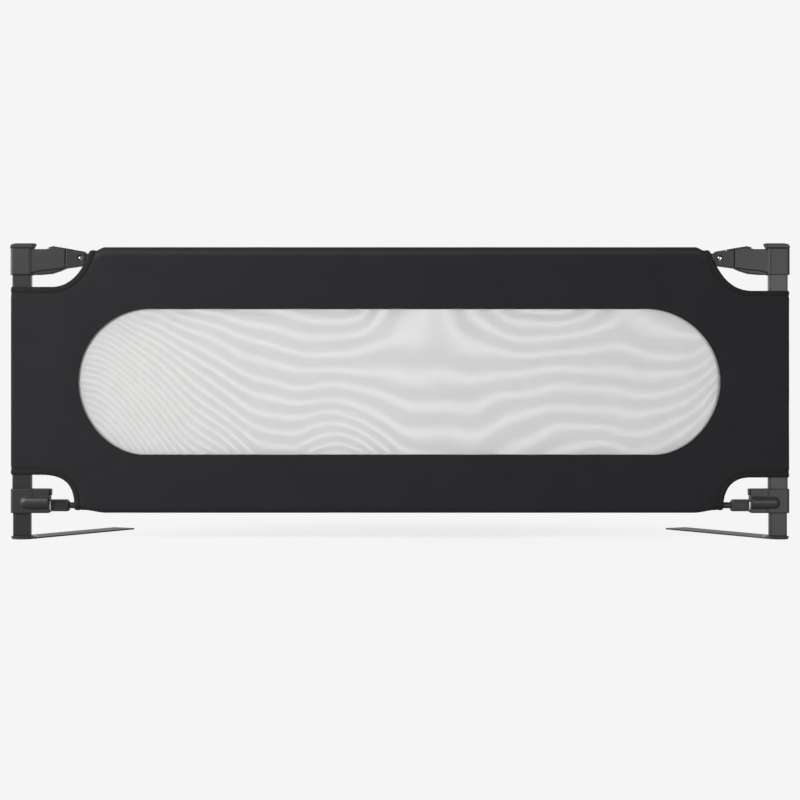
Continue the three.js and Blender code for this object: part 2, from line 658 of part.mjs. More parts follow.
// The lower bracket: a moulded collar round the post and a block towards the rail. The outer post stands in it,
// and the leg slides through. A round boss on each face houses the lock pin.
function lowerBracket(side) {
  const wide = bracket.collarInner + bracket.outer;
  const plan = roundRect(wide, bracket.depth, bracket.corner, (bracket.outer - bracket.collarInner) / 2, 0);
  const collar = upright(plan, bracketBottom, bracketTop, bracket.bevel);
  const blockHigh = bracketTop - bracketBottom;
  const blockShape = roundRect(
    bracket.inner,
    blockHigh,
    bracket.corner / 2,
    -bracket.inner / 2,
    bracketBottom + blockHigh / 2,
  );
  const bossStart = -bracket.inner + bracket.bevel;
  const bossProfile = [[0, bossStart], [1, bossStart], [1, boss.tip - boss.dome]];
  for (let i = 1; i < boss.arcSteps; i += 1) {
    const around = (i / boss.arcSteps) * (Math.PI / 2);
    bossProfile.push([Math.cos(around), boss.tip - boss.dome + boss.dome * Math.sin(around)]);
  }
  bossProfile.push([0, boss.tip]);
  const bosses = [-1, 1].map((way) =>
    alongX(turned(bossProfile, 16))
      .scale(1, boss.bulge + boss.sunk, boss.halfHigh)
      .translate(0, way * (bracket.depth / 2 - boss.sunk), bossZ),
  );
  const above = upright(
    roundRect(outerPost.width + 2 * fit, outerPost.depth + 2 * fit, outerPost.corner + fit),
    outerPostBottom - fit,
    bracketTop + overrun,
  );
  const through = upright(
    roundRect(innerPost.width + 2 * fit, innerPost.depth + 2 * fit, innerPost.corner),
    bracketBottom - overrun,
    bracketTop + overrun,
  );
  const pinBore = alongX(bar(lockPin.radius + fit, -lockPin.shoulder - overrun, 0)).translate(0, 0, bossZ);
  const riserRoom = block(
    -lockPin.shoulder - lockPin.riser - lockPin.travel - fit,
    -lockPin.shoulder + fit,
    -lockPin.halfWidth - fit,
    lockPin.halfWidth + fit,
    bossZ - lockPin.foot - fit,
    tabTop + fit,
  );
  const tabRoom = block(
    -bracket.inner - overrun,
    -lockPin.shoulder,
    -lockPin.halfWidth - fit,
    lockPin.halfWidth + fit,
    tabBottom - fit,
    tabTop + fit,
  );
  const springFar = lockPin.shoulder + lockPin.riser + lockSpring.length + 2 * fit;
  const springBore = alongX(
    bar(lockSpring.radius + 2 * lockSpring.wire + fit, -springFar, -lockPin.shoulder),
  ).translate(0, 0, springZ);
  const spigotBore = alongX(
    bar(spigot.radius + fit, -bracket.inner - overrun, -socketOuter + spigot.deep + fit),
  ).translate(0, 0, lowRailZ);
  const body = carve(
    [collar, sideways(blockShape, bracket.blockDepth, bracket.bevel), ...bosses],
    [above, through, pinBore, riserRoom, tabRoom, springBore, spigotBore, screwCut(screwZ.low)],
  );
  return piece(`${side}_lower_bracket`, body, finish.moulding);
}

// The lock: a pin towards the leg, a riser, and a tab whose pad shows beyond the bracket for the fingers.
// Its coil spring pushes the pin to the leg.
function lockPieces(side) {
  const shaft = alongX(bar(lockPin.radius, -lockPin.shoulder - overlap, -lockPin.tip)).translate(0, 0, bossZ);
  const back = lockPin.shoulder + lockPin.riser;
  const riser = block(
    -back,
    -lockPin.shoulder,
    -lockPin.halfWidth,
    lockPin.halfWidth,
    bossZ - lockPin.foot,
    tabTop,
  );
  const padFace = bracket.inner + fit;
  const stem = block(
    -padFace - overlap,
    -back + overlap,
    -lockPin.halfWidth,
    lockPin.halfWidth,
    tabBottom,
    tabTop,
  );
  const padMiddle = bracketTop - fit - tab.padHigh / 2;
  const padShape = roundRect(tab.padWidth, tab.padHigh, tab.padCorner, 0, padMiddle);
  const pad = lengthways(padShape, -padFace - tab.padThick, -padFace);
  const spring = coil(lockSpring, -back - fit - lockSpring.length, -back - fit).translate(0, 0, springZ);
  return [
    piece(`${side}_lock_slide`, carve([shaft, riser, stem, pad]), finish.darkMoulding),
    piece(`${side}_lock_spring`, spring, finish.zinc),
  ];
}

// The socket that carries the lower rail's rod, with a recess in each face and a spigot into the bracket. A pale
// washer keeps it off the bracket.
function socketPieces(side) {
  const bottom = lowRailZ - socket.high / 2;
  const top = bottom + socket.high;
  const shape = outline([
    [-socketOuter, bottom],
    [-socketOuter, top],
    [-socketInner + socket.chamfer, top],
    [-socketInner, top - socket.chamfer],
    [-socketInner, bottom + socket.chamfer / 2],
    [-socketInner + socket.chamfer / 2, bottom],
  ]);
  const peg = alongX(bar(spigot.radius, -socketOuter - overlap, -socketOuter + spigot.deep));
  const bore = alongX(bar(rod.radius + fit, -socketInner - overrun, -socketInner + rod.inSocket + fit));
  const recesses = [-1, 1].map((way) => {
    const floor = socket.depth / 2 - socketWindow.deep;
    const faces = [way * floor, way * (floor + overrun)].sort((a, b) => a - b);
    return block(
      -socketInner + socketWindow.margin,
      -socketOuter - socketWindow.edge,
      faces[0],
      faces[1],
      bottom + socketWindow.edge,
      top - socketWindow.edge,
    );
  });
  const body = carve(
    [sideways(shape, socket.depth, socket.bevel), peg.translate(0, 0, lowRailZ)],
    [bore.translate(0, 0, lowRailZ), ...recesses],
  );
  const ringFar = bracket.inner + fit + washer.thick;
  const ring = carve(
    [alongX(bar(washer.radius, -ringFar, -bracket.inner - fit, 24))],
    [alongX(bar(spigot.radius + fit, -ringFar - overrun, 0))],
  );
  return [
    piece(`${side}_lower_socket`, body, finish.darkMoulding),
    piece(`${side}_socket_washer`, ring.translate([0, 0, lowRailZ]), finish.nylon),
  ];
}

function lowerRodPiece(side) {
  const shape = alongX(bar(rod.radius, -lowRail.inset - rod.inRail, -socketInner + rod.inSocket));
  return piece(`${side}_lower_rod`, shape.translate(0, 0, lowRailZ), finish.postPaint);
}

function sideGroup(side) {
  const tubeBore = lengthways(
    roundRect(endTube.depth + 2 * fit, endTube.high + 2 * fit, endTube.corner, 0, endTubeZ),
    -rail.inset - railBush.deep - overrun,
    -rail.inset + railBush.flange + overrun,
  );
  const rodBore = alongX(
    bar(rod.radius + fit, -lowRail.inset - railBush.deep - overrun, -lowRail.inset + railBush.flange + overrun),
  ).translate(0, 0, lowRailZ);
  const group = new THREE.Group();
  group.add(
    ...legPieces(side),
    footGroup(side),
    outerPostPiece(side),
    topBracket(side),
    lidPiece(side),
    screwPiece(`${side}_top_bracket_screw`, screwZ.top),
    sleevePiece(side),
    leverPiece(side),
    leverPinPiece(side),
    endTubePiece(side),
    ...snapPieces(side),
    bushPiece(`${side}_rail_bush`, rail, railZ, tubeBore),
    lowerBracket(side),
    screwPiece(`${side}_lower_bracket_screw`, screwZ.low),
    ...lockPieces(side),
    ...socketPieces(side),
    lowerRodPiece(side),
    bushPiece(`${side}_lower_rail_bush`, lowRail, lowRailZ, rodBore),
  );
  return group;
}

// The cover's outline seen from the front, drawn in by a margin, as if its corners were not cut away.
function coverOutline(margin) {
  const { topFrom, topTo, topDrop, lowFrom, lowTo, lowRise } = shoulder;
  const side = sheetSide - margin;
  const top = panelTop - margin;
  const bottom = panelBottom + margin;
  const half = [
    [postX - lowFrom, bottom],
    [postX - lowTo, bottom + lowRise],
    [side, bottom + lowRise],
    [side, top - topDrop],
    [postX - topTo, top - topDrop],
    [postX - topFrom, top],
  ];
  return outline([...half, ...half.map(([x, z]) => [-x, z]).reverse()]);
}

// The curve of one corner's cut edge, from beyond the post to beyond the rail, moved outwards from the cut by
// a margin. The cut starts at the panel's edge, and away is 1 where it is under that edge and -1 where over it.
function scallopEdge({ high, bend, reach, backShare, downShare, upShare }, edgeZ, away, margin) {
  const bendX = postX - bend;
  const postZ = edgeZ - away * high;
  const back = reach - bend;
  const curve = new THREE.CubicBezierCurve(
    new THREE.Vector2(bendX, postZ),
    new THREE.Vector2(bendX - back * backShare, postZ),
    new THREE.Vector2(bendX - back * downShare, postZ + away * high * upShare),
    new THREE.Vector2(bendX - back, edgeZ),
  );
  const points = [];
  for (let i = 0; i <= scallopSteps; i += 1) {
    const at = curve.getPoint(i / scallopSteps);
    const along = curve.getTangent(i / scallopSteps);
    points.push([at.x - Math.abs(along.y) * margin, at.y - Math.abs(along.x) * away * margin]);
  }
  const beyond = edgeZ + away * cloth.tape;
  const first = [sheetSide + cloth.tape, postZ - away * margin];
  return [first, ...points, [points[scallopSteps][0], beyond], [sheetSide + cloth.tape, beyond]];
}

// What is cut away at one corner, as a solid right through the cover.
function cornerCut({ scallop, edgeZ, away, mirror }, margin) {
  const points = scallopEdge(scallop, edgeZ, away, margin).map(([x, z]) => [x * mirror, z]);
  return sideways(outline(points), 2 * sheetFront + 2 * overrun);
}

// The window's outline: straight along the middle, with ends that are a quarter of a superellipse at each corner.
const windowTop = panelTop - opening.fromTop;
const windowBottom = panelBottom + opening.fromBottom;
const windowHalf = postX - opening.inset;

function windowPoints(margin) {
  const { endLong, power, arcSteps } = opening;
  const halfHigh = (windowTop - windowBottom) / 2 + margin;
  const middle = (windowTop + windowBottom) / 2;
  const reach = windowHalf + margin;
  const points = [];
  for (let i = -arcSteps; i <= arcSteps; i += 1) {
    const around = (i / arcSteps) * (Math.PI / 2);
    const across = Math.pow(Math.abs(Math.cos(around)), 2 / power);
    const up = Math.sign(i) * Math.pow(Math.abs(Math.sin(around)), 2 / power);
    points.push([reach - endLong + endLong * across, middle + halfHigh * up]);
  }
  return [...points, ...points.map(([x, z]) => [-x, z]).reverse()];
}

// The filled form of the whole cover, drawn in by a margin. It rolls widely over the rails and tightly round the
// posts.
function coverForm(margin) {
  const depth = 2 * (sheetFront - margin);
  const high = panelTop - panelBottom - 2 * margin;
  const middle = (panelTop + panelBottom) / 2;
  const reach = sheetSide + overrun;
  const section = roundRect(depth, high, sheetRoll - margin, 0, middle);
  const round = solid(lengthways(section, -reach, reach, railSteps));
  return solid(sideways(coverOutline(margin), depth, cloth.corner - margin, 0, 2)).intersect(round);
}

// The shell of the whole cover, as thick as the cloth and a margin, before it is cut.
function coverShell(extra) {
  return coverForm(-extra).subtract(coverForm(cloth.thick));
}

const topEdge = { scallop: scallopTop, edgeZ: panelTop - shoulder.topDrop, away: 1 };
const lowEdge = { scallop: scallopLow, edgeZ: panelBottom + shoulder.lowRise, away: -1 };
const corners = [
  { ...topEdge, name: "top_left", mirror: -1 },
  { ...topEdge, name: "top_right", mirror: 1 },
  { ...lowEdge, name: "lower_left", mirror: -1 },
  { ...lowEdge, name: "lower_right", mirror: 1 },
];

// The cover: a front and a back sheet that wrap the posts and rails and meet along their edges, with a window in
// each. At each corner a tape binds the edge round the opening where the frame comes out.
function coverPieces() {
  const big = sheetSide + cloth.tape;
  const cuts = corners.map((corner) => cornerCut(corner, cloth.tape + fit));
  const window = sideways(outline(windowPoints(0)), 2 * sheetFront + 2 * overrun);
  const whole = carve([coverShell(0)], [...cuts, window]);
  const tall = panelTop + overrun;
  const front = whole.subtract(solid(block(-big, big, -fit / 2, 2 * sheetFront, 0, tall)));
  const back = whole.subtract(solid(block(-big, big, -2 * sheetFront, fit / 2, 0, tall)));
  const thick = coverShell(cloth.tapeExtra);
  const tapes = corners.map((corner) => {
    const band = solid(cornerCut(corner, cloth.tape));
    const hole = solid(cornerCut(corner, 0));
    return piece(`${corner.name}_binding`, thick.intersect(band).subtract(hole), finish.tape);
  });
  return [
    piece("cover_front", front, finish.fabric),
    piece("cover_back", back, finish.fabric),
    ...tapes,
  ];
}

// A net behind a window: its border is sewn behind the sheet, and its square gaps stay inside the window.
function netPiece(name, way) {
  const low = windowBottom + net.edge;
  const pitch = (windowTop - net.edge - low) / net.rows;
  const columns = Math.ceil(windowHalf / pitch);
  const middle = way * (sheetFront - cloth.thick - fit - net.thick / 2);
  const field = sideways(outline(windowPoints(-net.edge)), 2 * net.thick, 0, middle);
  const gaps = [];
  for (let i = -columns; i < columns; i += 1) {
    for (let j = 0; j < net.rows; j += 1) {
      const [x0, x1] = [i * pitch + net.bar / 2, (i + 1) * pitch - net.bar / 2];
      const [z0, z1] = [low + j * pitch + net.bar / 2, low + (j + 1) * pitch - net.bar / 2];
      gaps.push(solid(block(x0, x1, middle - net.thick, middle + net.thick, z0, z1)));
    }
  }
  const cut = wasm.Manifold.compose(gaps).intersect(solid(field));
  const sheet = sideways(outline(windowPoints(net.border)), net.thick, 0, middle);
  return piece(name, carve([sheet], [cut]), finish.mesh);
}

const topRail = lengthways(
  boxTube(rail.depth, rail.high, rail.corner, steel, railZ),
  -railHalf,
  railHalf,
  railSteps,
);
const lowerRail = lengthways(
  boxTube(lowRail.depth, lowRail.high, lowRail.corner, steel, lowRailZ),
  -lowRailHalf,
  lowRailHalf,
  railSteps,
);

const right = sideGroup("right");
right.position.x = postX;
const left = sideGroup("left");
left.position.x = -postX;
left.scale.x = -1;

const guardRail = new THREE.Group();
guardRail.add(
  left,
  right,
  piece("top_rail", topRail, finish.postPaint),
  piece("lower_rail", lowerRail, finish.postPaint),
  ...coverPieces(),
  netPiece("front_mesh", -1),
  netPiece("back_mesh", 1),
);

// The frame's origin is under the middle of the whole object.
guardRail.updateMatrixWorld(true);
const bounds = new THREE.Box3().setFromObject(guardRail, true);
guardRail.position.y = -(bounds.min.y + bounds.max.y) / 2;

export default guardRail;
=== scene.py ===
"""A bed guard rail: a taut black cover with a net window, on two telescoping posts with swivelling feet.

Everything is in metres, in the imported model's frame: +X along the rail, +Y towards the bed, +Z up.
"""
import math
import bpy
import numpy as np
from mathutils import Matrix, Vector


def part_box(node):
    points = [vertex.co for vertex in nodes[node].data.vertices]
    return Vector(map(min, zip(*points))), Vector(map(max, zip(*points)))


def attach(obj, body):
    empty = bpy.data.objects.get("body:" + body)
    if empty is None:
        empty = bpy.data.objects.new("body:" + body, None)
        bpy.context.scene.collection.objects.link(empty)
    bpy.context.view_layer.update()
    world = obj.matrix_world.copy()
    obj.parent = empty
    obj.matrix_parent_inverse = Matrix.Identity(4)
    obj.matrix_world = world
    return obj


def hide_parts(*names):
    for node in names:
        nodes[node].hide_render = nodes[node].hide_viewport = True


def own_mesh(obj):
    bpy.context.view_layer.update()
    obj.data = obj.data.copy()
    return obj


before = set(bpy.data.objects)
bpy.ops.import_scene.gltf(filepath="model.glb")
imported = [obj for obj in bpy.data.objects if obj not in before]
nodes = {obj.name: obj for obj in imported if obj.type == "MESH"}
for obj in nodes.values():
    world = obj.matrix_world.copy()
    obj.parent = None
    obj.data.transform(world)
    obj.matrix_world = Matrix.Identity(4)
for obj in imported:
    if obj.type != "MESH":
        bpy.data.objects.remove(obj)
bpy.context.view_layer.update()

mm = 0.001

# The camera stands square to the panel, at the height of its middle, as in the photograph. The distance
# follows from the horizon and from how much of the feet's top faces shows.
camera_away = 3.643
camera_high = 0.2677
camera_data = bpy.data.cameras.new("camera")
camera_data.lens = 81.9
camera_data.sensor_width = 36
camera = bpy.data.objects.new("camera", camera_data)
camera.location = (0, -camera_away, camera_high)
camera.rotation_euler = (math.radians(90), 0, 0)
bpy.context.collection.objects.link(camera)
bpy.context.scene.camera = camera
bpy.context.scene.view_settings.view_transform = "Standard"


# The studio: a pale seamless floor under a pale surround. What the camera sees of them is one light grey, and
# the floor near the rail keeps a share of its own light and shade, so that the rail stands in a soft shadow.
# The floor stays under the feet when the legs slide out.
def linear(code):
    """A colour written as sRGB hex, turned to linear light by the sRGB curve, with full opacity."""
    channels = np.array([int(code[i : i + 2], 16) for i in (1, 3, 5)]) / 255
    low = channels / 12.92
    high = ((channels + 0.055) / 1.055) ** 2.4
    return (*np.where(channels <= 0.04045, low, high).tolist(), 1.0)


def add_node(tree, kind, inputs=None, **settings):
    """Adds a node, sets its properties, and sets or links each of its inputs, by name or by number."""
    node = tree.nodes.new(kind)
    for name, value in settings.items():
        setattr(node, name, value)
    for name, value in (inputs or {}).items():
        socket = node.inputs[name]
        if isinstance(value, bpy.types.NodeSocket):
            tree.links.new(value, socket)
        else:
            socket.default_value = value
    return node


def new_material(name):
    """An empty node material."""
    material = bpy.data.materials.new(name)
    material.use_nodes = True
    material.node_tree.nodes.clear()
    return material, material.node_tree


def new_mesh(name, points, *groups, uv=None):
    """A mesh, shaded smooth, from an array of points and one or more arrays of faces. All faces of one array
    have the same number of corners."""
    mesh = bpy.data.meshes.new(name)
    mesh.vertices.add(len(points))
    mesh.vertices.foreach_set("co", points.astype(np.float32).ravel())
    corners = np.concatenate([faces.ravel() for faces in groups])
    mesh.loops.add(len(corners))
    mesh.loops.foreach_set("vertex_index", corners.astype(np.int32))
    sizes = np.concatenate([np.full(len(faces), faces.shape[1]) for faces in groups])
    mesh.polygons.add(len(sizes))
    mesh.polygons.foreach_set("loop_start", (np.cumsum(sizes) - sizes).astype(np.int32))
    mesh.polygons.foreach_set("use_smooth", np.ones(len(sizes), dtype=bool))
    if uv is not None:
        layer = mesh.uv_layers.new(name="cloth")
        layer.data.foreach_set("uv", uv[corners].astype(np.float32).ravel())
    mesh.update()
    mesh.validate()
    piece = bpy.data.objects.new(name, mesh)
    bpy.context.collection.objects.link(piece)
    return piece


surround = linear("#f5f5f5")
world = bpy.data.worlds.new("surround")
world.use_nodes = True
bpy.context.scene.world = world
tree = world.node_tree
tree.nodes.clear()
path = add_node(tree, "ShaderNodeLightPath")
seen = add_node(
    tree,
    "ShaderNodeMath",
    {0: path.outputs["Is Camera Ray"], 1: path.outputs["Is Transmission Ray"]},
    operation="ADD",
    use_clamp=True,
)
heading = add_node(tree, "ShaderNodeTexCoord")
apart = add_node(tree, "ShaderNodeSeparateXYZ", {0: heading.outputs["Generated"]})
room = add_node(
    tree,
    "ShaderNodeMapRange",
    {"Value": apart.outputs["Y"], "From Min": -0.6, "From Max": 0.2, "To Min": 0.25, "To Max": 1.0},
    interpolation_type="SMOOTHSTEP",
)
fill = add_node(tree, "ShaderNodeBackground", {"Color": (1, 1, 1, 1), "Strength": 0.22})
reflected = add_node(tree, "ShaderNodeBackground", {"Color": surround, "Strength": room.outputs[0]})
pale = add_node(tree, "ShaderNodeBackground", {"Color": surround, "Strength": 1})
other = add_node(
    tree,
    "ShaderNodeMixShader",
    {0: path.outputs["Is Glossy Ray"], 1: fill.outputs[0], 2: reflected.outputs[0]},
)
either = add_node(
    tree,
    "ShaderNodeMixShader",
    {0: seen.outputs[0], 1: other.outputs[0], 2: pale.outputs[0]},
)
add_node(tree, "ShaderNodeOutputWorld", {0: either.outputs[0]})

floor_half = 60
floor = new_mesh(
    "floor",
    np.array([[-1, -1, 0], [1, -1, 0], [1, 1, 0], [-1, 1, 0]]) * floor_half,
    np.array([[0, 1, 2, 3]]),
)
floor_paper, tree = new_material("studio_paper")
path = add_node(tree, "ShaderNodeLightPath")
seen = add_node(
    tree,
    "ShaderNodeMath",
    {0: path.outputs["Is Camera Ray"], 1: path.outputs["Is Glossy Ray"]},
    operation="ADD",
    use_clamp=True,
)
place = add_node(tree, "ShaderNodeTexCoord")
around = add_node(
    tree,
    "ShaderNodeMapping",
    {"Vector": place.outputs["Object"], "Location": (0, -0.03, 0), "Scale": (0.6, 1, 1)},
)
near = add_node(tree, "ShaderNodeVectorMath", {0: around.outputs[0]}, operation="LENGTH")
fade = add_node(
    tree,
    "ShaderNodeMapRange",
    {"Value": near.outputs["Value"], "From Min": 0.1, "From Max": 0.5, "To Min": 0.74, "To Max": 1.0},
    interpolation_type="SMOOTHSTEP",
)
lift = add_node(
    tree,
    "ShaderNodeMapRange",
    {"Value": near.outputs["Value"], "From Min": 0.1, "From Max": 0.5, "To Min": 1.12, "To Max": 1.0},
    interpolation_type="SMOOTHSTEP",
)
share = add_node(
    tree,
    "ShaderNodeMath",
    {0: seen.outputs[0], 1: fade.outputs[0]},
    operation="MULTIPLY",
)
paper = add_node(tree, "ShaderNodeBsdfDiffuse", {"Color": linear("#e9e9e9")})
dimmed = add_node(
    tree,
    "ShaderNodeMapRange",
    {"Value": path.outputs["Is Glossy Ray"], "To Min": 1.0, "To Max": 0.4},
)
strength = add_node(
    tree,
    "ShaderNodeMath",
    {0: lift.outputs[0], 1: dimmed.outputs[0]},
    operation="MULTIPLY",
)
glow = add_node(tree, "ShaderNodeEmission", {"Color": surround, "Strength": strength.outputs[0]})
both = add_node(
    tree,
    "ShaderNodeMixShader",
    {0: share.outputs[0], 1: paper.outputs[0], 2: glow.outputs[0]},
)
add_node(tree, "ShaderNodeOutputMaterial", {0: both.outputs[0]})
floor.data.materials.append(floor_paper)
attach(floor, "left_leg")


# The lights: a large soft box high at the left, a narrow upright one at each end at the rail's own height,
# which draw a bright line down the posts' round corners, and one behind at the left that fills the back.
def soft_box(name, place, aim, wide, tall, radiance):
    """An area lamp turned to shine at a point. Its power is its radiance times pi times its area."""
    lamp = bpy.data.lights.new(name, "AREA")
    lamp.shape = "RECTANGLE"
    lamp.size = wide
    lamp.size_y = tall
    lamp.energy = radiance * math.pi * wide * tall
    holder = bpy.data.objects.new(name, lamp)
    holder.location = place
    along = np.array(aim) - np.array(place)
    turn = math.atan2(along[1], along[0]) - math.pi / 2
    tilt = math.atan2(along[2], math.hypot(along[0], along[1])) + math.pi / 2
    holder.rotation_euler = (tilt, 0, turn)
    bpy.context.collection.objects.link(holder)


soft_box("key", (-2.7, -2.7, 2.1), (-0.1, -0.13, 0.3), 1.8, 1.8, 13)
soft_box("left_strip", (-2.95, -0.85, 0.4), (-0.7, -0.14, 0.3), 0.5, 1.3, 16)
soft_box("right_strip", (1.65, -3.5, 0.45), (0.72, -0.14, 0.3), 0.5, 0.9, 17)
soft_box("back_fill", (-3.3, 1.6, 0.8), (0, -0.13, 0.3), 1.2, 1.4, 9)


# The feet: flat steel plates under the mattress, stamped, with a satin powder coat. Each turns on a zinc
# rivet under its post, and a second rivet beside the post stops its swing.
def powder_coat(name, colours, roughness, corner, specular=0.5):
    """Powder coat on steel: a thick satin film that rounds every corner and has an orange peel of soft
    dimples about 1.6 mm across, drawn at their real size, with a faint cloud where the film is thicker."""
    material, tree = new_material(name)
    place = add_node(tree, "ShaderNodeTexCoord")
    peel = add_node(
        tree,
        "ShaderNodeTexNoise",
        {"Vector": place.outputs["Object"], "Scale": 1 / (1.6 * mm), "Detail": 2},
    )
    film = add_node(
        tree,
        "ShaderNodeTexNoise",
        {"Vector": place.outputs["Object"], "Scale": 1 / (45 * mm), "Detail": 3},
    )
    tone = add_node(
        tree,
        "ShaderNodeMix",
        {0: film.outputs[0], 6: linear(colours[0]), 7: linear(colours[1])},
        data_type="RGBA",
    )
    gloss = add_node(
        tree,
        "ShaderNodeMapRange",
        {"Value": peel.outputs[0], "To Min": roughness - 0.05, "To Max": roughness + 0.06},
    )
    rounded = add_node(tree, "ShaderNodeBevel", {"Radius": corner}, samples=6)
    dimples = add_node(
        tree,
        "ShaderNodeBump",
        {
            "Height": peel.outputs[0],
            "Strength": 0.3,
            "Distance": 0.03 * mm,
            "Normal": rounded.outputs[0],
        },
    )
    coat = add_node(
        tree,
        "ShaderNodeBsdfPrincipled",
        {
            "Base Color": tone.outputs[2],
            "Roughness": gloss.outputs[0],
            "IOR": 1.5,
            "Specular IOR Level": specular,
            "Normal": dimples.outputs[0],
        },
    )
    add_node(tree, "ShaderNodeOutputMaterial", {0: coat.outputs[0]})
    return material


def dress(names, material):
    """Gives CAD nodes a material."""
    for name in names:
        for place in nodes[name].material_slots:
            place.material = material


def both_sides(*names):
    """The names with left_ and right_ before each."""
    return [f"{side}_{name}" for side in ("left", "right") for name in names]


foot_coat = powder_coat("powder_coat_foot", ("#363634", "#323230"), 0.5, 0.8 * mm, specular=0.35)
dress(both_sides("foot_plate", "base_plate"), foot_coat)


def bare_metal(name, colour, roughness):
    """Bright zinc plate: a thin cold-grey metal film, a little cloudy from the bath."""
    material, tree = new_material(name)
    place = add_node(tree, "ShaderNodeTexCoord")
    cloud = add_node(
        tree,
        "ShaderNodeTexNoise",
        {"Vector": place.outputs["Object"], "Scale": 1 / (3 * mm), "Detail": 3},
    )
    gloss = add_node(
        tree,
        "ShaderNodeMapRange",
        {"Value": cloud.outputs["Fac"], "To Min": roughness - 0.08, "To Max": roughness + 0.1},
    )
    plate = add_node(
        tree,
        "ShaderNodeBsdfPrincipled",
        {"Base Color": linear(colour), "Metallic": 1, "Roughness": gloss.outputs[0]},
    )
    add_node(tree, "ShaderNodeOutputMaterial", {0: plate.outputs[0]})
    return material


zinc = bare_metal("bright_zinc_plate", "#c9cac6", 0.24)
dress(both_sides("foot_pivot_rivet", "foot_stop_rivet"), zinc)

# The legs and the outer posts that slide on them: rolled steel tube with rounded corners, powder coated,
# with a nylon glide in the top of each leg.
post_coat = powder_coat("powder_coat_post", ("#242422", "#21211f"), 0.36, 3.5 * mm)
dress(both_sides("inner_post", "outer_post"), post_coat)


def moulded(name, colours, roughness, corner):
    """Injection-moulded polyamide: an even colour with the fine spark-eroded grain of the mould, about 0.8 mm
    from dimple to dimple, which dulls its gloss, and corners that the mould leaves a little round."""
    material, tree = new_material(name)
    place = add_node(tree, "ShaderNodeTexCoord")
    grain = add_node(
        tree,
        "ShaderNodeTexNoise",
        {"Vector": place.outputs["Object"], "Scale": 1 / (0.8 * mm), "Detail": 2},
    )
    flow = add_node(
        tree,
        "ShaderNodeTexNoise",
        {"Vector": place.outputs["Object"], "Scale": 1 / (28 * mm), "Detail": 2},
    )
    tone = add_node(
        tree,
        "ShaderNodeMix",
        {0: flow.outputs[0], 6: linear(colours[0]), 7: linear(colours[1])},
        data_type="RGBA",
    )
    gloss = add_node(
        tree,
        "ShaderNodeMapRange",
        {"Value": grain.outputs[0], "To Min": roughness - 0.06, "To Max": roughness + 0.08},
    )
    rounded = add_node(tree, "ShaderNodeBevel", {"Radius": corner}, samples=6)
    dimples = add_node(
        tree,
        "ShaderNodeBump",
        {
            "Height": grain.outputs[0],
            "Strength": 0.3,
            "Distance": 0.02 * mm,
            "Normal": rounded.outputs[0],
        },
    )
    plastic = add_node(
        tree,
        "ShaderNodeBsdfPrincipled",
        {
            "Base Color": tone.outputs[2],
            "Roughness": gloss.outputs[0],
            "IOR": 1.53,
            "Normal": dimples.outputs[0],
        },
    )
    add_node(tree, "ShaderNodeOutputMaterial", {0: plastic.outputs[0]})
    return material


natural_nylon = moulded("natural_nylon", ("#e4e2dc", "#dcd9d0"), 0.5, 0.5 * mm)
dress(both_sides("post_glide"), natural_nylon)

# The corner brackets, lids and rail sleeves: glass-filled polyamide in the posts' grey, with zinc-plated
# screws on the bed side.
grey_nylon = moulded("moulded_grey_polyamide", ("#242423", "#212120"), 0.42, 2 * mm)
dress(both_sides("top_bracket", "lid", "rail_sleeve", "lower_bracket"), grey_nylon)
dress(both_sides("top_bracket_screw", "lower_bracket_screw"), zinc)

# The release levers, lock slides and lower sockets: the same plastic in near black. The washers and the
# rails' bushes are natural nylon, and the small pins, buttons and springs are plated with zinc.
dark_nylon = moulded("moulded_black_polyamide", ("#1b1b1a", "#171716"), 0.45, 1 * mm)
dress(both_sides("release_lever", "lock_slide", "lower_socket"), dark_nylon)
dress(both_sides("socket_washer", "rail_bush", "lower_rail_bush"), natural_nylon)
dress(both_sides("lever_pin", "snap_button", "snap_spring", "lock_spring"), zinc)

# The springs, of zinc-plated steel: a coil of wire behind each lock slide, and a bent leaf behind each snap
# button. Each has one fixed end and is pressed together as its slide or button moves; here each is a copy of
# its part that rides unchanged on the rail frame.
pull_travel = 7 * mm
press_travel = 4 * mm
for side in ("left", "right"):
    for name, joint, axis, travel in (
        ("lock_spring", "lock_pull", 0, pull_travel),
        ("snap_spring", "button_press", 1, press_travel),
    ):
        low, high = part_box(f"{side}_{name}")
        spring = bpy.data.objects.new(f"{side}_{name}_steel", nodes[f"{side}_{name}"].data.copy())
        bpy.context.collection.objects.link(spring)
        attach(spring, "rail_frame")
        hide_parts(f"{side}_{name}")
        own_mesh(spring)

# The rails: rolled tube inside the cover, with a smaller tube or a rod out of each end, in the same powder
# coat as the posts.
dress(["top_rail", "lower_rail", *both_sides("rail_end_tube", "lower_rod")], post_coat)

# The cover: two sheets of black woven polyester, sewn up of four panels each with a mitred seam at each
# corner of the window, pulled tight over posts and rails. The flat cut is worked out from the frame's size.
front_low, front_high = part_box("cover_front")
back_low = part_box("cover_back")[0]
post_low, post_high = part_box("right_outer_post")
middle_y = (front_high.y + back_low.y) / 2
half_depth = middle_y - front_low.y
sheet_gap = middle_y - front_high.y
post_x = (post_low.x + post_high.x) / 2
sheet_side = front_high.x
sheet_top = front_high.z
sheet_bottom = front_low.z
cloth_thick = 0.9 * mm
side_roll = 3 * mm
rail_roll = 9.7 * mm
tape_wide = {
    "top_left": 14.5 * mm,
    "top_right": 12 * mm,
    "lower_left": 13.5 * mm,
    "lower_right": 12 * mm,
}
tape_laps = 1.3 * mm
curve_steps = 160
straight_steps = 40
quarter = math.pi / 2
flat_x = sheet_side - side_roll
flat_end_x = flat_x + side_roll * quarter + half_depth - side_roll - sheet_gap
rail_rest = rail_roll * quarter + half_depth - rail_roll - sheet_gap
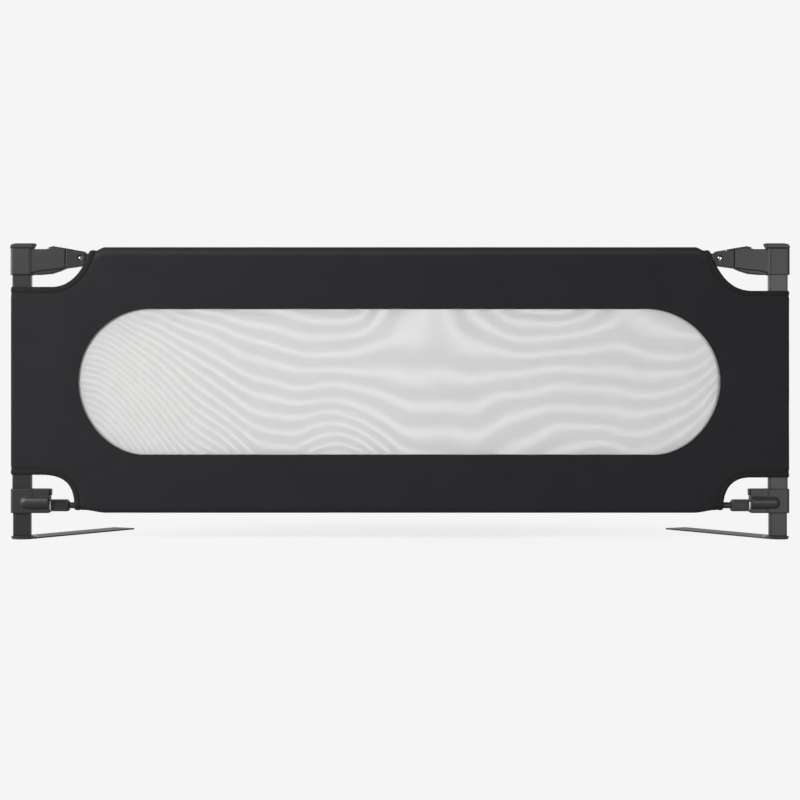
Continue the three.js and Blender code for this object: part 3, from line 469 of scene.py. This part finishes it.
top_step = {"start": post_x - 158.5 * mm, "long": 15 * mm, "high": 6.1 * mm}
low_step = {"start": post_x - 162.5 * mm, "long": 44 * mm, "high": 5.4 * mm}


def step(x, start, long, high):
    """A smooth step up along the rail: 0 before start, high after start and long, 3s2 less 2s3 between."""
    s = np.clip((np.abs(x) - start) / long, 0, 1)
    return high * s * s * (3 - 2 * s)


def roll_starts(x):
    """The heights where the cloth starts to roll over the lower rail and over the top rail."""
    low = sheet_bottom + step(x, **low_step) + rail_roll
    high = sheet_top - step(x, **top_step) - rail_roll
    return low, high


def on_frame(u, v, lift, way):
    """Where a point of the flat cloth lies, for the front sheet (way -1) or the back one (way 1). Past the
    flat middle it runs round an arc, over the rail or round the post, and on to the edge where the sheets
    meet. Lift moves it along the cloth's normal."""
    low, high = roll_starts(u)
    beyond_x = np.maximum(np.abs(u) - flat_x, 0)
    beyond_z = np.maximum(v - high, 0) + np.maximum(low - v, 0)
    turn_x = np.minimum(beyond_x / side_roll, quarter)
    turn_z = np.minimum(beyond_z / rail_roll, quarter)
    rest = beyond_x - turn_x * side_roll + beyond_z - turn_z * rail_roll
    inwards = side_roll * (1 - np.cos(turn_x)) + rail_roll * (1 - np.cos(turn_z)) + rest
    x = np.sign(u) * (np.minimum(np.abs(u), flat_x) + (side_roll + lift) * np.sin(turn_x))
    up = np.where(v > (low + high) / 2, 1, -1)
    z = np.clip(v, low, high) + up * (rail_roll + lift) * np.sin(turn_z)
    y = middle_y + way * (half_depth - inwards + lift * np.cos(turn_x) * np.cos(turn_z))
    return np.stack([x, y, z], axis=-1)


def corner_cut(edge, away, high, bend, reach, back_share, down_share, up_share):
    """The flat outline of the opening at a right-hand corner: a cubic curve from the rail's edge to the level
    of the post's opening, then straight round the post. Where the curve is on the roll, its height above the
    roll's start is turned to the length of the arc, the roll's radius times the angle whose sine it is."""
    t = np.linspace(0, 1, curve_steps)[:, None]
    back = reach - bend
    bend_x = post_x - bend
    level = edge - away * high
    a, b, c, d = np.array(
        [
            [bend_x - back, edge],
            [bend_x - back * down_share, level + away * high * up_share],
            [bend_x - back * back_share, level],
            [bend_x, level],
        ]
    )
    curve = (1 - t) ** 3 * a + 3 * (1 - t) ** 2 * t * b + 3 * (1 - t) * t**2 * c + t**3 * d
    start = edge - away * rail_roll
    above = np.clip(away * (curve[:, 1] - start) / rail_roll, 0, 1)
    curve[:, 1] = np.where(above > 0, start + away * rail_roll * np.arcsin(above), curve[:, 1])
    first = [[a[0], start + away * rail_rest]]
    along = np.linspace(bend_x, flat_end_x, straight_steps)[1:]
    return np.concatenate([first, curve, np.stack([along, np.full(len(along), level)], axis=1)])


def by_length(points, count, ease=1.0, late=True):
    """The polyline again with count points, spaced along its length. An ease above 1 crowds them together
    at its late or its early end."""
    length = np.concatenate([[0], np.cumsum(np.linalg.norm(np.diff(points, axis=0), axis=1))])
    s = np.linspace(0, 1, count)
    s = 1 - (1 - s) ** ease if late else s**ease
    return np.stack([np.interp(s * length[-1], length, points[:, k]) for k in (0, 1)], axis=1)


def inset(points, distance, away):
    """The polyline moved into the cloth by a distance, along its own normal."""
    along = np.gradient(points, axis=0)
    along /= np.linalg.norm(along, axis=1, keepdims=True)
    return points + distance * np.stack([along[:, 1], -along[:, 0]], axis=1) * away


# The four openings were cut by hand to one pattern, so each is a little different.
top_edge = sheet_top - top_step["high"]
low_edge = sheet_bottom + low_step["high"]
cuts = {
    "top_left": corner_cut(top_edge, 1, 69.9 * mm, 59.5 * mm, 131.1 * mm, 0.28, 0.75, 0.17),
    "top_right": corner_cut(top_edge, 1, 77.5 * mm, 48.8 * mm, 132.5 * mm, 0.38, 0.72, 0.17),
    "lower_left": corner_cut(low_edge, -1, 67.1 * mm, 37.9 * mm, 101.6 * mm, 0.66, 1.05, 0.23),
    "lower_right": corner_cut(low_edge, -1, 61.9 * mm, 55.1 * mm, 106.6 * mm, 0.72, 1.02, 0.41),
}

# The window's outline: straight, with ends whose corners are quarters of a superellipse, each a little
# different. A corner is how far its end lies from the post's middle, how long the rounded part is, and the
# superellipse's power.
window_top = sheet_top - 118.2 * mm
window_bottom = sheet_bottom + 111.1 * mm
window_middle = (window_top + window_bottom) / 2
window_high = (window_top - window_bottom) / 2
window_corners = {
    "top_left": (109.5 * mm, 139 * mm, 2.0),
    "top_right": (112.3 * mm, 143 * mm, 1.95),
    "lower_left": (109.5 * mm, 127 * mm, 1.9),
    "lower_right": (112.3 * mm, 127 * mm, 1.9),
}


def window_quarter(up, from_post, end, power):
    """From over the window's middle to its far right end: a straight edge, then x and z as the cosine and the
    sine of an angle, each to the power two over the superellipse's own."""
    angle = np.linspace(quarter, 0, 400)
    x = post_x - from_post - end + end * np.cos(angle) ** (2 / power)
    z = window_middle + up * window_high * np.sin(angle) ** (2 / power)
    return np.concatenate([[[0, window_middle + up * window_high]], np.stack([x, z], axis=1)])


def split(points, *places):
    """The polyline cut where it comes nearest to each of some places."""
    nearest = [int(np.argmin(np.linalg.norm(points - np.array(place), axis=1))) for place in places]
    bounds = [0, *nearest, len(points) - 1]
    return [points[a : b + 1] for a, b in zip(bounds[:-1], bounds[1:])]


def sheet_quarter(corner, up, seam_at, window_at, counts):
    """The outer and the inner ends of the cloth's columns in one right-hand quarter, from the middle of the
    rail to the middle of the post, with the index of the seam's column. The counts are how many columns there
    are along the rail, on to the seam, on to the post and along the post."""
    edge = inset(cuts[corner], tape_wide[corner] - tape_laps, up)
    before, after = split(edge, seam_at)
    straight_x = np.linspace(0, edge[0, 0], counts[0])
    low, high = roll_starts(straight_x)
    straight_z = high + rail_rest if up > 0 else low - rail_rest
    side_z = np.linspace(edge[-1, 1], window_middle, counts[3])
    outer = [
        np.stack([straight_x, straight_z], axis=1),
        by_length(before, counts[1], 1.7)[1:],
        by_length(after, counts[2], 1.7, late=False)[1:],
        np.stack([np.full(counts[3], flat_end_x), side_z], axis=1)[1:],
    ]
    pieces = split(window_quarter(up, *window_corners[corner]), *window_at)
    inner = [
        by_length(pieces[0], counts[0]),
        by_length(pieces[1], counts[1], 1.7)[1:],
        by_length(pieces[2], counts[2], 1.7, late=False)[1:],
        by_length(pieces[3], counts[3])[1:],
    ]
    return np.concatenate(outer), np.concatenate(inner), counts[0] + counts[1] - 2


# Where the columns' counts change round the window: at the end of the rail's part, at the seam and at the
# start of the post's part. The other two places are where the side's upper and lower seams meet the openings.
top_window = ((0.505, 0.441), (0.562, 0.4195), (0.593, 0.387))
low_window = ((0.515, 0.165), (0.5587, 0.1831), (0.595, 0.222))
halves = {}
for side, top_place, low_place in (
    ("right", (0.652, 0.468), (0.646, 0.13)),
    ("left", (0.647, 0.4725), (0.634, 0.124)),
):
    top_outer, top_inner, top_seam = sheet_quarter(
        f"top_{side}", 1, top_place, top_window, (134, 30, 34, 84)
    )
    low_outer, low_inner, low_seam = sheet_quarter(
        f"lower_{side}", -1, low_place, low_window, (138, 30, 34, 64)
    )
    halves[side] = (
        np.concatenate([top_outer, low_outer[::-1][1:]]),
        np.concatenate([top_inner, low_inner[::-1][1:]]),
    )
other_side = np.array([-1, 1])
outer, inner = [
    np.concatenate([halves["right"][k], (halves["left"][k] * other_side)[::-1][1:-1]]) for k in (0, 1)
]
right_count = len(halves["right"][0])
columns = len(outer)
seams = [top_seam, right_count - 1 - low_seam]
seams += [columns - seam for seam in seams]
side_panel = np.zeros(columns)
side_panel[seams[0] + 1 : seams[1]] = 1
side_panel[seams[3] + 1 : seams[2]] = 1


def ridges(position, lengths, seed):
    """A sum of sines of several wave lengths, with seeded phases, as high as 1 in all."""
    phases = np.random.default_rng(seed).uniform(0, 2 * math.pi, len(lengths))
    waves = [np.sin(2 * math.pi * position / length + phase) for length, phase in zip(lengths, phases)]
    return sum(waves) / len(lengths)


# How high the cloth's slow waves and fine wrinkles are, and how a seam's hollow and its two welts are shaped.
slow_high = 0.6 * mm
fine_high = 0.22 * mm
groove_deep, groove_wide = 0.3 * mm, 1.1 * mm
welt_high, welt_wide, welt_off = 0.18 * mm, 1.8 * mm, 3.2 * mm
past_seam = 5 * mm

# Folds beside the posts, and two short ones at the lower right corner: the ends of each in millimetres, how
# far it stands off, and how wide it is.
folds = (
    ((690, 452), (742, 441), 0.55, 3.2),
    ((632, 367), (736, 364), 0.5, 2.6),
    ((618, 323), (724, 320), 0.3, 3.0),
    ((642, 293), (742, 283), -0.5, 4.0),
    ((630, 277), (738, 264), 0.45, 2.6),
    ((664, 237), (745, 231), 0.6, 3.4),
    ((690, 222), (745, 214), -0.5, 3.2),
    ((640, 205), (735, 200), 0.3, 3.6),
    ((602, 88), (586, 66), 0.9, 2.4),
    ((611, 84), (598, 62), -0.8, 2.2),
    ((-640, 392), (-742, 398), 0.35, 3.0),
    ((-648, 330), (-738, 333), 0.3, 3.4),
    ((-632, 251), (-742, 242), 0.35, 3.2),
    ((-660, 196), (-742, 190), 0.3, 3.0),
    ((-575, 540), (-540, 470), 0.35, 5.0),
    ((-736, 467), (-640, 459), 0.6, 3.0),
    ((-688, 454), (-634, 449), 0.5, 2.4),
)


def relief(u, v, way):
    """How far the cloth stands off: slow waves all over, fine level wrinkles that the posts pull into the
    cloth beside them, single folds with a bell-shaped section, and along each seam a hollow between two
    welts."""
    seed = 3 if way < 0 else 11
    slow = ridges(u + 0.3 * v, (0.31, 0.17, 0.093), seed) * ridges(v - 0.2 * u, (0.23, 0.12), seed + 1)
    pull = np.clip((np.abs(u) - 0.6) / 0.09, 0, 1)
    strong = np.where(u > 0, 1.0, 0.6)
    wander = 0.006 * ridges(u, (0.15, 0.07), seed + 2)
    fine = ridges(v + wander, (0.0125, 0.019, 0.031, 0.047), seed + 3)
    lift = slow_high * (slow + 1) + fine_high * strong * pull * (fine + 1)
    if way < 0:
        for start, end, high, wide in folds:
            a, b = np.array(start) * mm, np.array(end) * mm
            long = np.linalg.norm(b - a)
            along = (b - a) / long
            reach = (u - a[0]) * along[0] + (v - a[1]) * along[1]
            off = (u - a[0]) * along[1] - (v - a[1]) * along[0]
            swell = np.clip(1 - (2 * reach / long - 1) ** 2, 0, 1)
            lift = lift + high * mm * swell * np.exp(-((off / (wide * mm)) ** 2))
    for seam in seams:
        start, end = inner[seam], outer[seam]
        long = np.linalg.norm(end - start)
        along = (end - start) / long
        off = np.abs((u - start[0]) * along[1] - (v - start[1]) * along[0])
        reach = (u - start[0]) * along[0] + (v - start[1]) * along[1]
        beside = (reach > -past_seam) & (reach < long + past_seam)
        groove = -groove_deep * np.exp(-((off / groove_wide) ** 2))
        welt = welt_high * np.exp(-(((off - welt_off) / welt_wide) ** 2))
        lift = lift + np.where(beside, groove + welt, 0)
    return lift


def ring_faces(columns, rows):
    """The faces of a grid whose columns close in a ring, numbered column by column."""
    column = np.arange(columns)[:, None]
    row = np.arange(rows - 1)[None, :]
    here = column * rows + row
    there = (column + 1) % columns * rows + row
    return np.stack([here, there, there + 1, here + 1], axis=-1).reshape(-1, 4)


def woven_cloth(name, colours, side_colour, highlight_colour, sheen):
    """Woven polyester, 600 denier: matt, with a little sheen from its fibres at a flat angle. Its yarns are
    drawn 1.2 mm apart both ways, coarser than real, as a small bump, and their slubs show as faint streaks.
    A side panel, cut across the roll, is a shade off the others. A pale band along the start of the top
    rail's roll is a painted highlight, where the curve of the roll catches the light."""
    material, tree = new_material(name)
    flat = add_node(tree, "ShaderNodeUVMap", uv_map="cloth")
    yarn_apart = 1.2 * mm
    yarn_scale = 2 * math.pi / (20 * yarn_apart)
    yarns = [
        add_node(
            tree,
            "ShaderNodeTexWave",
            {"Vector": flat.outputs[0], "Scale": yarn_scale, "Distortion": 0.3},
            bands_direction=way,
        )
        for way in ("X", "Y")
    ]
    weave = add_node(
        tree,
        "ShaderNodeMath",
        {0: yarns[0].outputs["Fac"], 1: yarns[1].outputs["Fac"]},
        operation="MULTIPLY",
    )
    streaks = [
        add_node(tree, "ShaderNodeMapping", {"Vector": flat.outputs[0], "Scale": scale})
        for scale in ((25, 500, 1), (500, 25, 1))
    ]
    slubs = [
        add_node(tree, "ShaderNodeTexNoise", {"Vector": streak.outputs[0], "Scale": 1, "Detail": 3})
        for streak in streaks
    ]
    slub = add_node(
        tree,
        "ShaderNodeMath",
        {0: slubs[0].outputs[0], 1: slubs[1].outputs[0]},
        operation="ADD",
    )
    blotch = add_node(
        tree,
        "ShaderNodeTexNoise",
        {"Vector": flat.outputs[0], "Scale": 1 / (90 * mm), "Detail": 4},
    )
    mixed = add_node(
        tree,
        "ShaderNodeMath",
        {0: slub.outputs[0], 1: blotch.outputs[0]},
        operation="MULTIPLY",
        use_clamp=True,
    )
    panel = add_node(tree, "ShaderNodeAttribute", attribute_name="side_panel")
    roll_highlight = add_node(tree, "ShaderNodeAttribute", attribute_name="roll_highlight")
    ground = add_node(
        tree,
        "ShaderNodeMix",
        {0: panel.outputs["Fac"], 6: linear(colours[0]), 7: linear(side_colour)},
        data_type="RGBA",
    )
    tone = add_node(
        tree,
        "ShaderNodeMix",
        {0: mixed.outputs[0], 6: ground.outputs[2], 7: linear(colours[1])},
        data_type="RGBA",
    )
    # The painted highlight: a paler colour mixed in along the band at the start of the top rail's roll.
    highlighted = add_node(
        tree,
        "ShaderNodeMix",
        {0: roll_highlight.outputs["Fac"], 6: tone.outputs[2], 7: linear(highlight_colour)},
        data_type="RGBA",
    )
    bump = add_node(
        tree,
        "ShaderNodeBump",
        {"Height": weave.outputs[0], "Strength": 0.3, "Distance": 0.12 * mm},
    )
    cloth = add_node(
        tree,
        "ShaderNodeBsdfPrincipled",
        {
            "Base Color": highlighted.outputs[2],
            "Roughness": 0.75,
            "IOR": 1.45,
            "Specular IOR Level": 0.22,
            "Sheen Weight": sheen,
            "Sheen Roughness": 0.5,
            "Normal": bump.outputs[0],
        },
    )
    add_node(tree, "ShaderNodeOutputMaterial", {0: cloth.outputs[0]})
    return material


# The fourth colour is the painted highlight along the start of the top rail's roll.
black_cloth = woven_cloth("woven_polyester", ("#222023", "#1d1b1e"), "#212023", "#2e2e2e", 0.04)
rows_in, rows_out = 22, 14
edge_band = 19 * mm
edge_row = 0.3 * mm
calm_outside = 14 * mm
calm_inside = 20 * mm
# Where the band of painted highlight lies, from the top roll's start, and how wide it is.
highlight_line = -0.5 * mm
highlight_wide = 4 * mm
reach = np.linalg.norm(outer - inner, axis=1)
band = 1 - edge_band / reach
row_share = np.concatenate([np.linspace(0, 1, rows_in), 1 + np.linspace(0, 1, rows_out)[1:]])
share = np.minimum(row_share, 1)[None, :] * band[:, None] + np.maximum(row_share - 1, 0)[None, :] * (
    1 - band[:, None]
)
share = np.concatenate([share[:, :1], edge_row / reach[:, None], share[:, 1:]], axis=1)
flat_uv = inner[:, None, :] + (outer - inner)[:, None, :] * share[:, :, None]
flat_uv = flat_uv.reshape(-1, 2)
rows = share.shape[1]
cloth_faces = ring_faces(columns, rows)
panel_values = np.repeat(side_panel, rows)
settle = np.clip((1 - share) * reach[:, None] / calm_outside, 0, 1)
settle = (settle * np.clip(share * reach[:, None] / calm_inside, 0, 1)).ravel()
# How strongly each point takes the painted highlight: a bell across the start of the top rail's roll.
past_roll = flat_uv[:, 1] - roll_starts(flat_uv[:, 0])[1]
roll_highlight = np.exp(-(((past_roll - highlight_line) / highlight_wide) ** 2))
for side, way in (("front", -1), ("back", 1)):
    u, v = flat_uv[:, 0], flat_uv[:, 1]
    points = on_frame(u, v, relief(u, v, way) * settle, way)
    faces = cloth_faces if way > 0 else cloth_faces[:, ::-1]
    sheet = new_mesh(f"{side}_cover_sheet", points, faces, uv=flat_uv)
    tone = sheet.data.attributes.new("side_panel", "FLOAT", "POINT")
    tone.data.foreach_set("value", panel_values.astype(np.float32))
    tone = sheet.data.attributes.new("roll_highlight", "FLOAT", "POINT")
    tone.data.foreach_set("value", roll_highlight.astype(np.float32))
    wall = sheet.modifiers.new("cloth thickness", "SOLIDIFY")
    wall.thickness = cloth_thick
    wall.offset = -1
    wall.use_even_offset = True
    sheet.data.materials.append(black_cloth)
    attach(sheet, "rail_frame")
    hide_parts(f"cover_{side}")

# The bindings: a woven tape folded over the cloth's edge all round each opening, front and back in one loop,
# and sewn down near its inner edge. It puckers a little on the curve. The profile is drawn for a 12 mm tape.
drawn_wide = 12 * mm
tape_count = 180
tape_step = 1.45 * mm
tape_long = 0.26
pucker_wide = 0.12 * mm
pucker_high = 0.22
tape_cloth = woven_cloth("grosgrain_tape", ("#1d1d1c", "#191918"), "#1d1d1c", "#1d1d1c", 0.05)
tape_profile = (
    np.array(
        [
            [10.3, -0.88],
            [10.3, 0.04],
            [12.0, 0.06],
            [12.0, 0.4],
            [11.6, 0.66],
            [10.9, 0.72],
            [10.3, 0.4],
            [9.7, 0.4],
            [9.1, 0.9],
            [7.9, 1.35],
            [6.2, 1.6],
            [4.3, 1.6],
            [2.5, 1.3],
            [1.0, 0.8],
            [0.2, 0.2],
            [0.0, -0.2],
            [0.1, -0.6],
            [0.5, -0.84],
            [1.6, -0.88],
        ]
    )
    * mm
)
for name, cut in cuts.items():
    up = 1 if name.startswith("top") else -1
    mirror = 1 if name.endswith("right") else -1
    path = by_length(cut, tape_count)
    along = np.gradient(path, axis=0)
    along /= np.linalg.norm(along, axis=1, keepdims=True)
    inward = np.stack([along[:, 1], -along[:, 0]], axis=1) * up
    run = np.linspace(0, 1, tape_count) * tape_long
    turns = []
    for way in (-1, 1):
        pucker = ridges(run * way, (0.013, 0.021, 0.034), 5 + up + mirror)
        a = tape_profile[None, :, 0] * tape_wide[name] / drawn_wide + pucker_wide * pucker[:, None]
        raised = tape_profile[None, :, 1] > 0.1 * mm
        b = tape_profile[None, :, 1] * (1 + pucker_high * pucker[:, None] * raised)
        u = path[:, None, 0] + inward[:, None, 0] * a
        v = path[:, None, 1] + inward[:, None, 1] * a
        half = on_frame(u * mirror, v, b, way)
        turns.append(half if way < 0 else half[::-1])
    loop = np.concatenate(turns)
    count, across = loop.shape[:2]
    column = np.arange(count)[:, None]
    row = np.arange(across)[None, :]
    nearby = (row + 1) % across
    after = (column + 1) % count
    faces = np.stack(
        [column * across + row, column * across + nearby, after * across + nearby, after * across + row],
        axis=-1,
    ).reshape(-1, 4)
    if up * mirror > 0:
        faces = faces[:, ::-1]
    uv = np.stack(np.broadcast_arrays(column * tape_step, tape_profile[None, :, 0]), axis=-1)
    tape = new_mesh(f"{name}_tape", loop.reshape(-1, 3), faces, uv=uv.reshape(-1, 2))
    tape.data.materials.append(tape_cloth)
    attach(tape, "rail_frame")
    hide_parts(f"{name}_binding")


# The nets: warp-knitted polyester, light grey, one sewn behind each window. The threads lie 1.7 mm apart both
# ways, coarser than a real knit. The back net is stretched otherwise than the front one, so the two together
# show the bands of the photograph.
thread_pitch = 1.7 * mm
level_half = 0.3 * mm
upright_half = 0.23 * mm
thread_deep = 0.3 * mm
upright_behind = 0.12 * mm
back_stretch = 0.0059
thread_wander = 0.1
threads_above = 180
level_steps = 81
upright_steps = 9
places_along = 1501
least_inside = 12
least_tall = 6 * mm
net_border = 8 * mm
net_half = post_x - 105 * mm
net_end = 158 * mm
net_power = 2.35
net_high = window_high + net_border
picture_step = 1.9246 * mm


def net_reach(x, z):
    """How far into the net's outline a point is, as the superellipse's own measure: 1 on the outline."""
    far = np.maximum(np.abs(x) - (net_half - net_end), 0) / net_end
    up = np.abs(z - window_middle) / net_high
    return far**net_power + up**net_power


# How the bands between the nets lie, in photograph pixels. Each row is a place along the rail from its
# middle, then how many bands cross each pixel of height at 33 pixels above the window's middle, at the middle
# and at 51 pixels below it, then how many bands each pixel along the rail takes them down by.
bands_above, bands_below = 33, 51
smooth_half = 13
camera_bands = 0.0062
band_wander = 0.12
band_rows = (
    (-318, 0.160, 0.160, 0.130, 0.020),
    (-290, 0.150, 0.140, 0.120, 0.100),
    (-270, 0.140, 0.130, 0.115, 0.125),
    (-240, 0.105, 0.105, 0.100, 0.110),
    (-210, 0.080, 0.078, 0.100, 0.070),
    (-182, 0.065, 0.068, 0.100, 0.045),
    (-142, 0.055, 0.056, 0.060, 0.018),
    (-102, 0.056, 0.062, 0.066, 0.008),
    (-82, 0.060, 0.069, 0.090, 0.000),
    (-62, 0.060, 0.067, 0.102, 0.000),
    (-42, 0.052, 0.056, 0.098, 0.006),
    (-22, 0.035, 0.042, 0.070, 0.012),
    (0, 0.020, 0.030, 0.048, 0.005),
    (40, 0.015, 0.028, 0.042, 0.002),
    (80, 0.035, 0.034, 0.030, -0.008),
    (110, 0.058, 0.050, 0.028, -0.008),
    (160, 0.068, 0.056, 0.042, 0.000),
    (200, 0.046, 0.050, 0.062, 0.003),
    (230, 0.034, 0.046, 0.052, 0.006),
    (260, 0.040, 0.054, 0.060, 0.006),
    (290, 0.055, 0.065, 0.070, -0.030),
    (318, 0.080, 0.085, 0.085, -0.100),
)


def bands(x):
    """The bands at places along the rail: how many to a metre of height at the window's middle, and how that
    grows with the height and with its square, from a parabola through the three heights; then how many they
    have moved by, the running sum of the last column. All are smoothed by a bell 27 pixels wide, and what the
    camera's own distance takes off the bands is added."""
    fine = np.arange(-360, 361)
    rows = np.array(band_rows)
    bell = np.hanning(2 * smooth_half + 1)
    bell /= bell.sum()
    upper, middle, lower, slide = [
        np.convolve(np.pad(np.interp(fine, rows[:, 0], rows[:, k]), smooth_half, "edge"), bell, "valid")
        for k in (1, 2, 3, 4)
    ]
    above, below = bands_above, bands_below
    square = (below * (upper - middle) + above * (lower - middle)) / (above * below * (above + below))
    slope = (upper - middle) / above - above * square
    place = x / picture_step
    rate = (np.interp(place, fine, middle) + camera_bands) / picture_step
    slope = np.interp(place, fine, slope) / picture_step**2
    square = np.interp(place, fine, square) / picture_step**3
    moved = np.interp(place, fine, np.cumsum(slide)) + band_wander * ridges(x, (0.23, 0.11), 8)
    return rate, slope, square, moved


def prisms(centres, across, out):
    """Threads of triangular section along rows of centres. Two corners lie across the thread and one inwards.
    The ends are closed. The faces point outwards when along, across and out make a left-handed set."""
    threads, steps = centres.shape[:2]
    corners = np.stack([centres - across, centres + across, centres + out], axis=2)
    number = np.arange(threads * steps * 3).reshape(threads, steps, 3)
    turned = np.roll(number, -1, axis=2)
    walls = np.stack([number[:, :-1], number[:, 1:], turned[:, 1:], turned[:, :-1]], axis=-1).reshape(-1, 4)
    return corners.reshape(-1, 3), walls, number[:, 0], number[:, -1][:, ::-1]


net_thread, tree = new_material("net_polyester")
place = add_node(tree, "ShaderNodeTexCoord")
cloud = add_node(
    tree,
    "ShaderNodeTexNoise",
    {"Vector": place.outputs["Object"], "Scale": 1 / (30 * mm), "Detail": 2},
)
# The threads' colour runs from darker at the left end to paler at the right: painted light and shade that
# evens out the key lamp, which is nearer the left end.
across = add_node(tree, "ShaderNodeSeparateXYZ", {0: place.outputs["Object"]})
rail_position = add_node(
    tree,
    "ShaderNodeMapRange",
    {"Value": across.outputs["X"], "From Min": -0.62, "From Max": 0.62},
)
painted_light_tone = add_node(
    tree,
    "ShaderNodeMix",
    {0: rail_position.outputs[0], 6: linear("#cfcfce"), 7: linear("#f4f4f3")},
    data_type="RGBA",
)
tone = add_node(
    tree,
    "ShaderNodeMix",
    {0: cloud.outputs["Fac"], 6: painted_light_tone.outputs[2], 7: linear("#e2e2e1")},
    data_type="RGBA",
)
thread = add_node(
    tree,
    "ShaderNodeBsdfPrincipled",
    {"Base Color": tone.outputs[2], "Roughness": 0.6, "IOR": 1.5, "Sheen Weight": 0.1},
)
add_node(tree, "ShaderNodeOutputMaterial", {0: thread.outputs[0]})

for side, way in (("front", -1), ("back", 1)):
    low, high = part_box(f"{side}_mesh")
    net_y = (low.y + high.y) / 2
    dense = np.linspace(-1, 1, places_along)
    index = np.arange(-threads_above, threads_above + 1)[:, None]
    x = dense[None, :] * net_half
    if way > 0:
        rate, slope, square, offset = bands(x)
        pitch = thread_pitch / (1 - thread_pitch * rate)
        rise = (index + offset) * pitch
        for _ in range(4):
            rise = (index + offset + slope * rise**2 / 2 + square * rise**3 / 3) * pitch
        z = window_middle + rise + thread_pitch * thread_wander * ridges(rise + 0.4 * x, (0.21, 0.09), 9)
    else:
        z = window_middle + index * thread_pitch + 0 * x
    inside = net_reach(x, z) < 1
    usable = inside.sum(axis=1) > least_inside
    x = np.broadcast_to(x, z.shape)[usable]
    z = z[usable]
    inside = inside[usable]
    first = np.argmax(inside, axis=1)
    last = inside.shape[1] - 1 - np.argmax(inside[:, ::-1], axis=1)
    part = np.linspace(0, 1, level_steps)[None, :]
    pick = np.rint(first[:, None] + (last - first)[:, None] * part).astype(int)
    row = np.arange(len(pick))[:, None]
    level_centres = np.stack([x[row, pick], np.full(pick.shape, net_y), z[row, pick]], axis=-1)
    stretch = 1 + back_stretch * (way > 0)
    count = int(net_half / thread_pitch / stretch) - 1
    up_x = np.arange(-count, count + 1) * thread_pitch * stretch
    far = np.maximum(np.abs(up_x) - (net_half - net_end), 0) / net_end
    tall = net_high * np.clip(1 - far**net_power, 0, 1) ** (1 / net_power)
    keep = tall > least_tall
    up_x, tall = up_x[keep], tall[keep]
    along = np.linspace(-1, 1, upright_steps)
    up_centres = np.stack(
        np.broadcast_arrays(
            up_x[:, None],
            net_y - way * upright_behind,
            window_middle + tall[:, None] * along,
        ),
        axis=-1,
    )
    inwards = np.array([0, -way, 0]) * thread_deep
    a = prisms(level_centres, np.array([0, 0, -way]) * level_half, inwards)
    b = prisms(up_centres, np.array([way, 0, 0]) * upright_half, inwards)
    points = np.concatenate([a[0], b[0]])
    walls = np.concatenate([a[1], b[1] + len(a[0])])
    caps = np.concatenate([a[2], a[3], b[2] + len(a[0]), b[3] + len(a[0])])
    net = new_mesh(f"{side}_net", points, walls, caps)
    net.data.materials.append(net_thread)
    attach(net, "rail_frame")
    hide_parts(f"{side}_mesh")
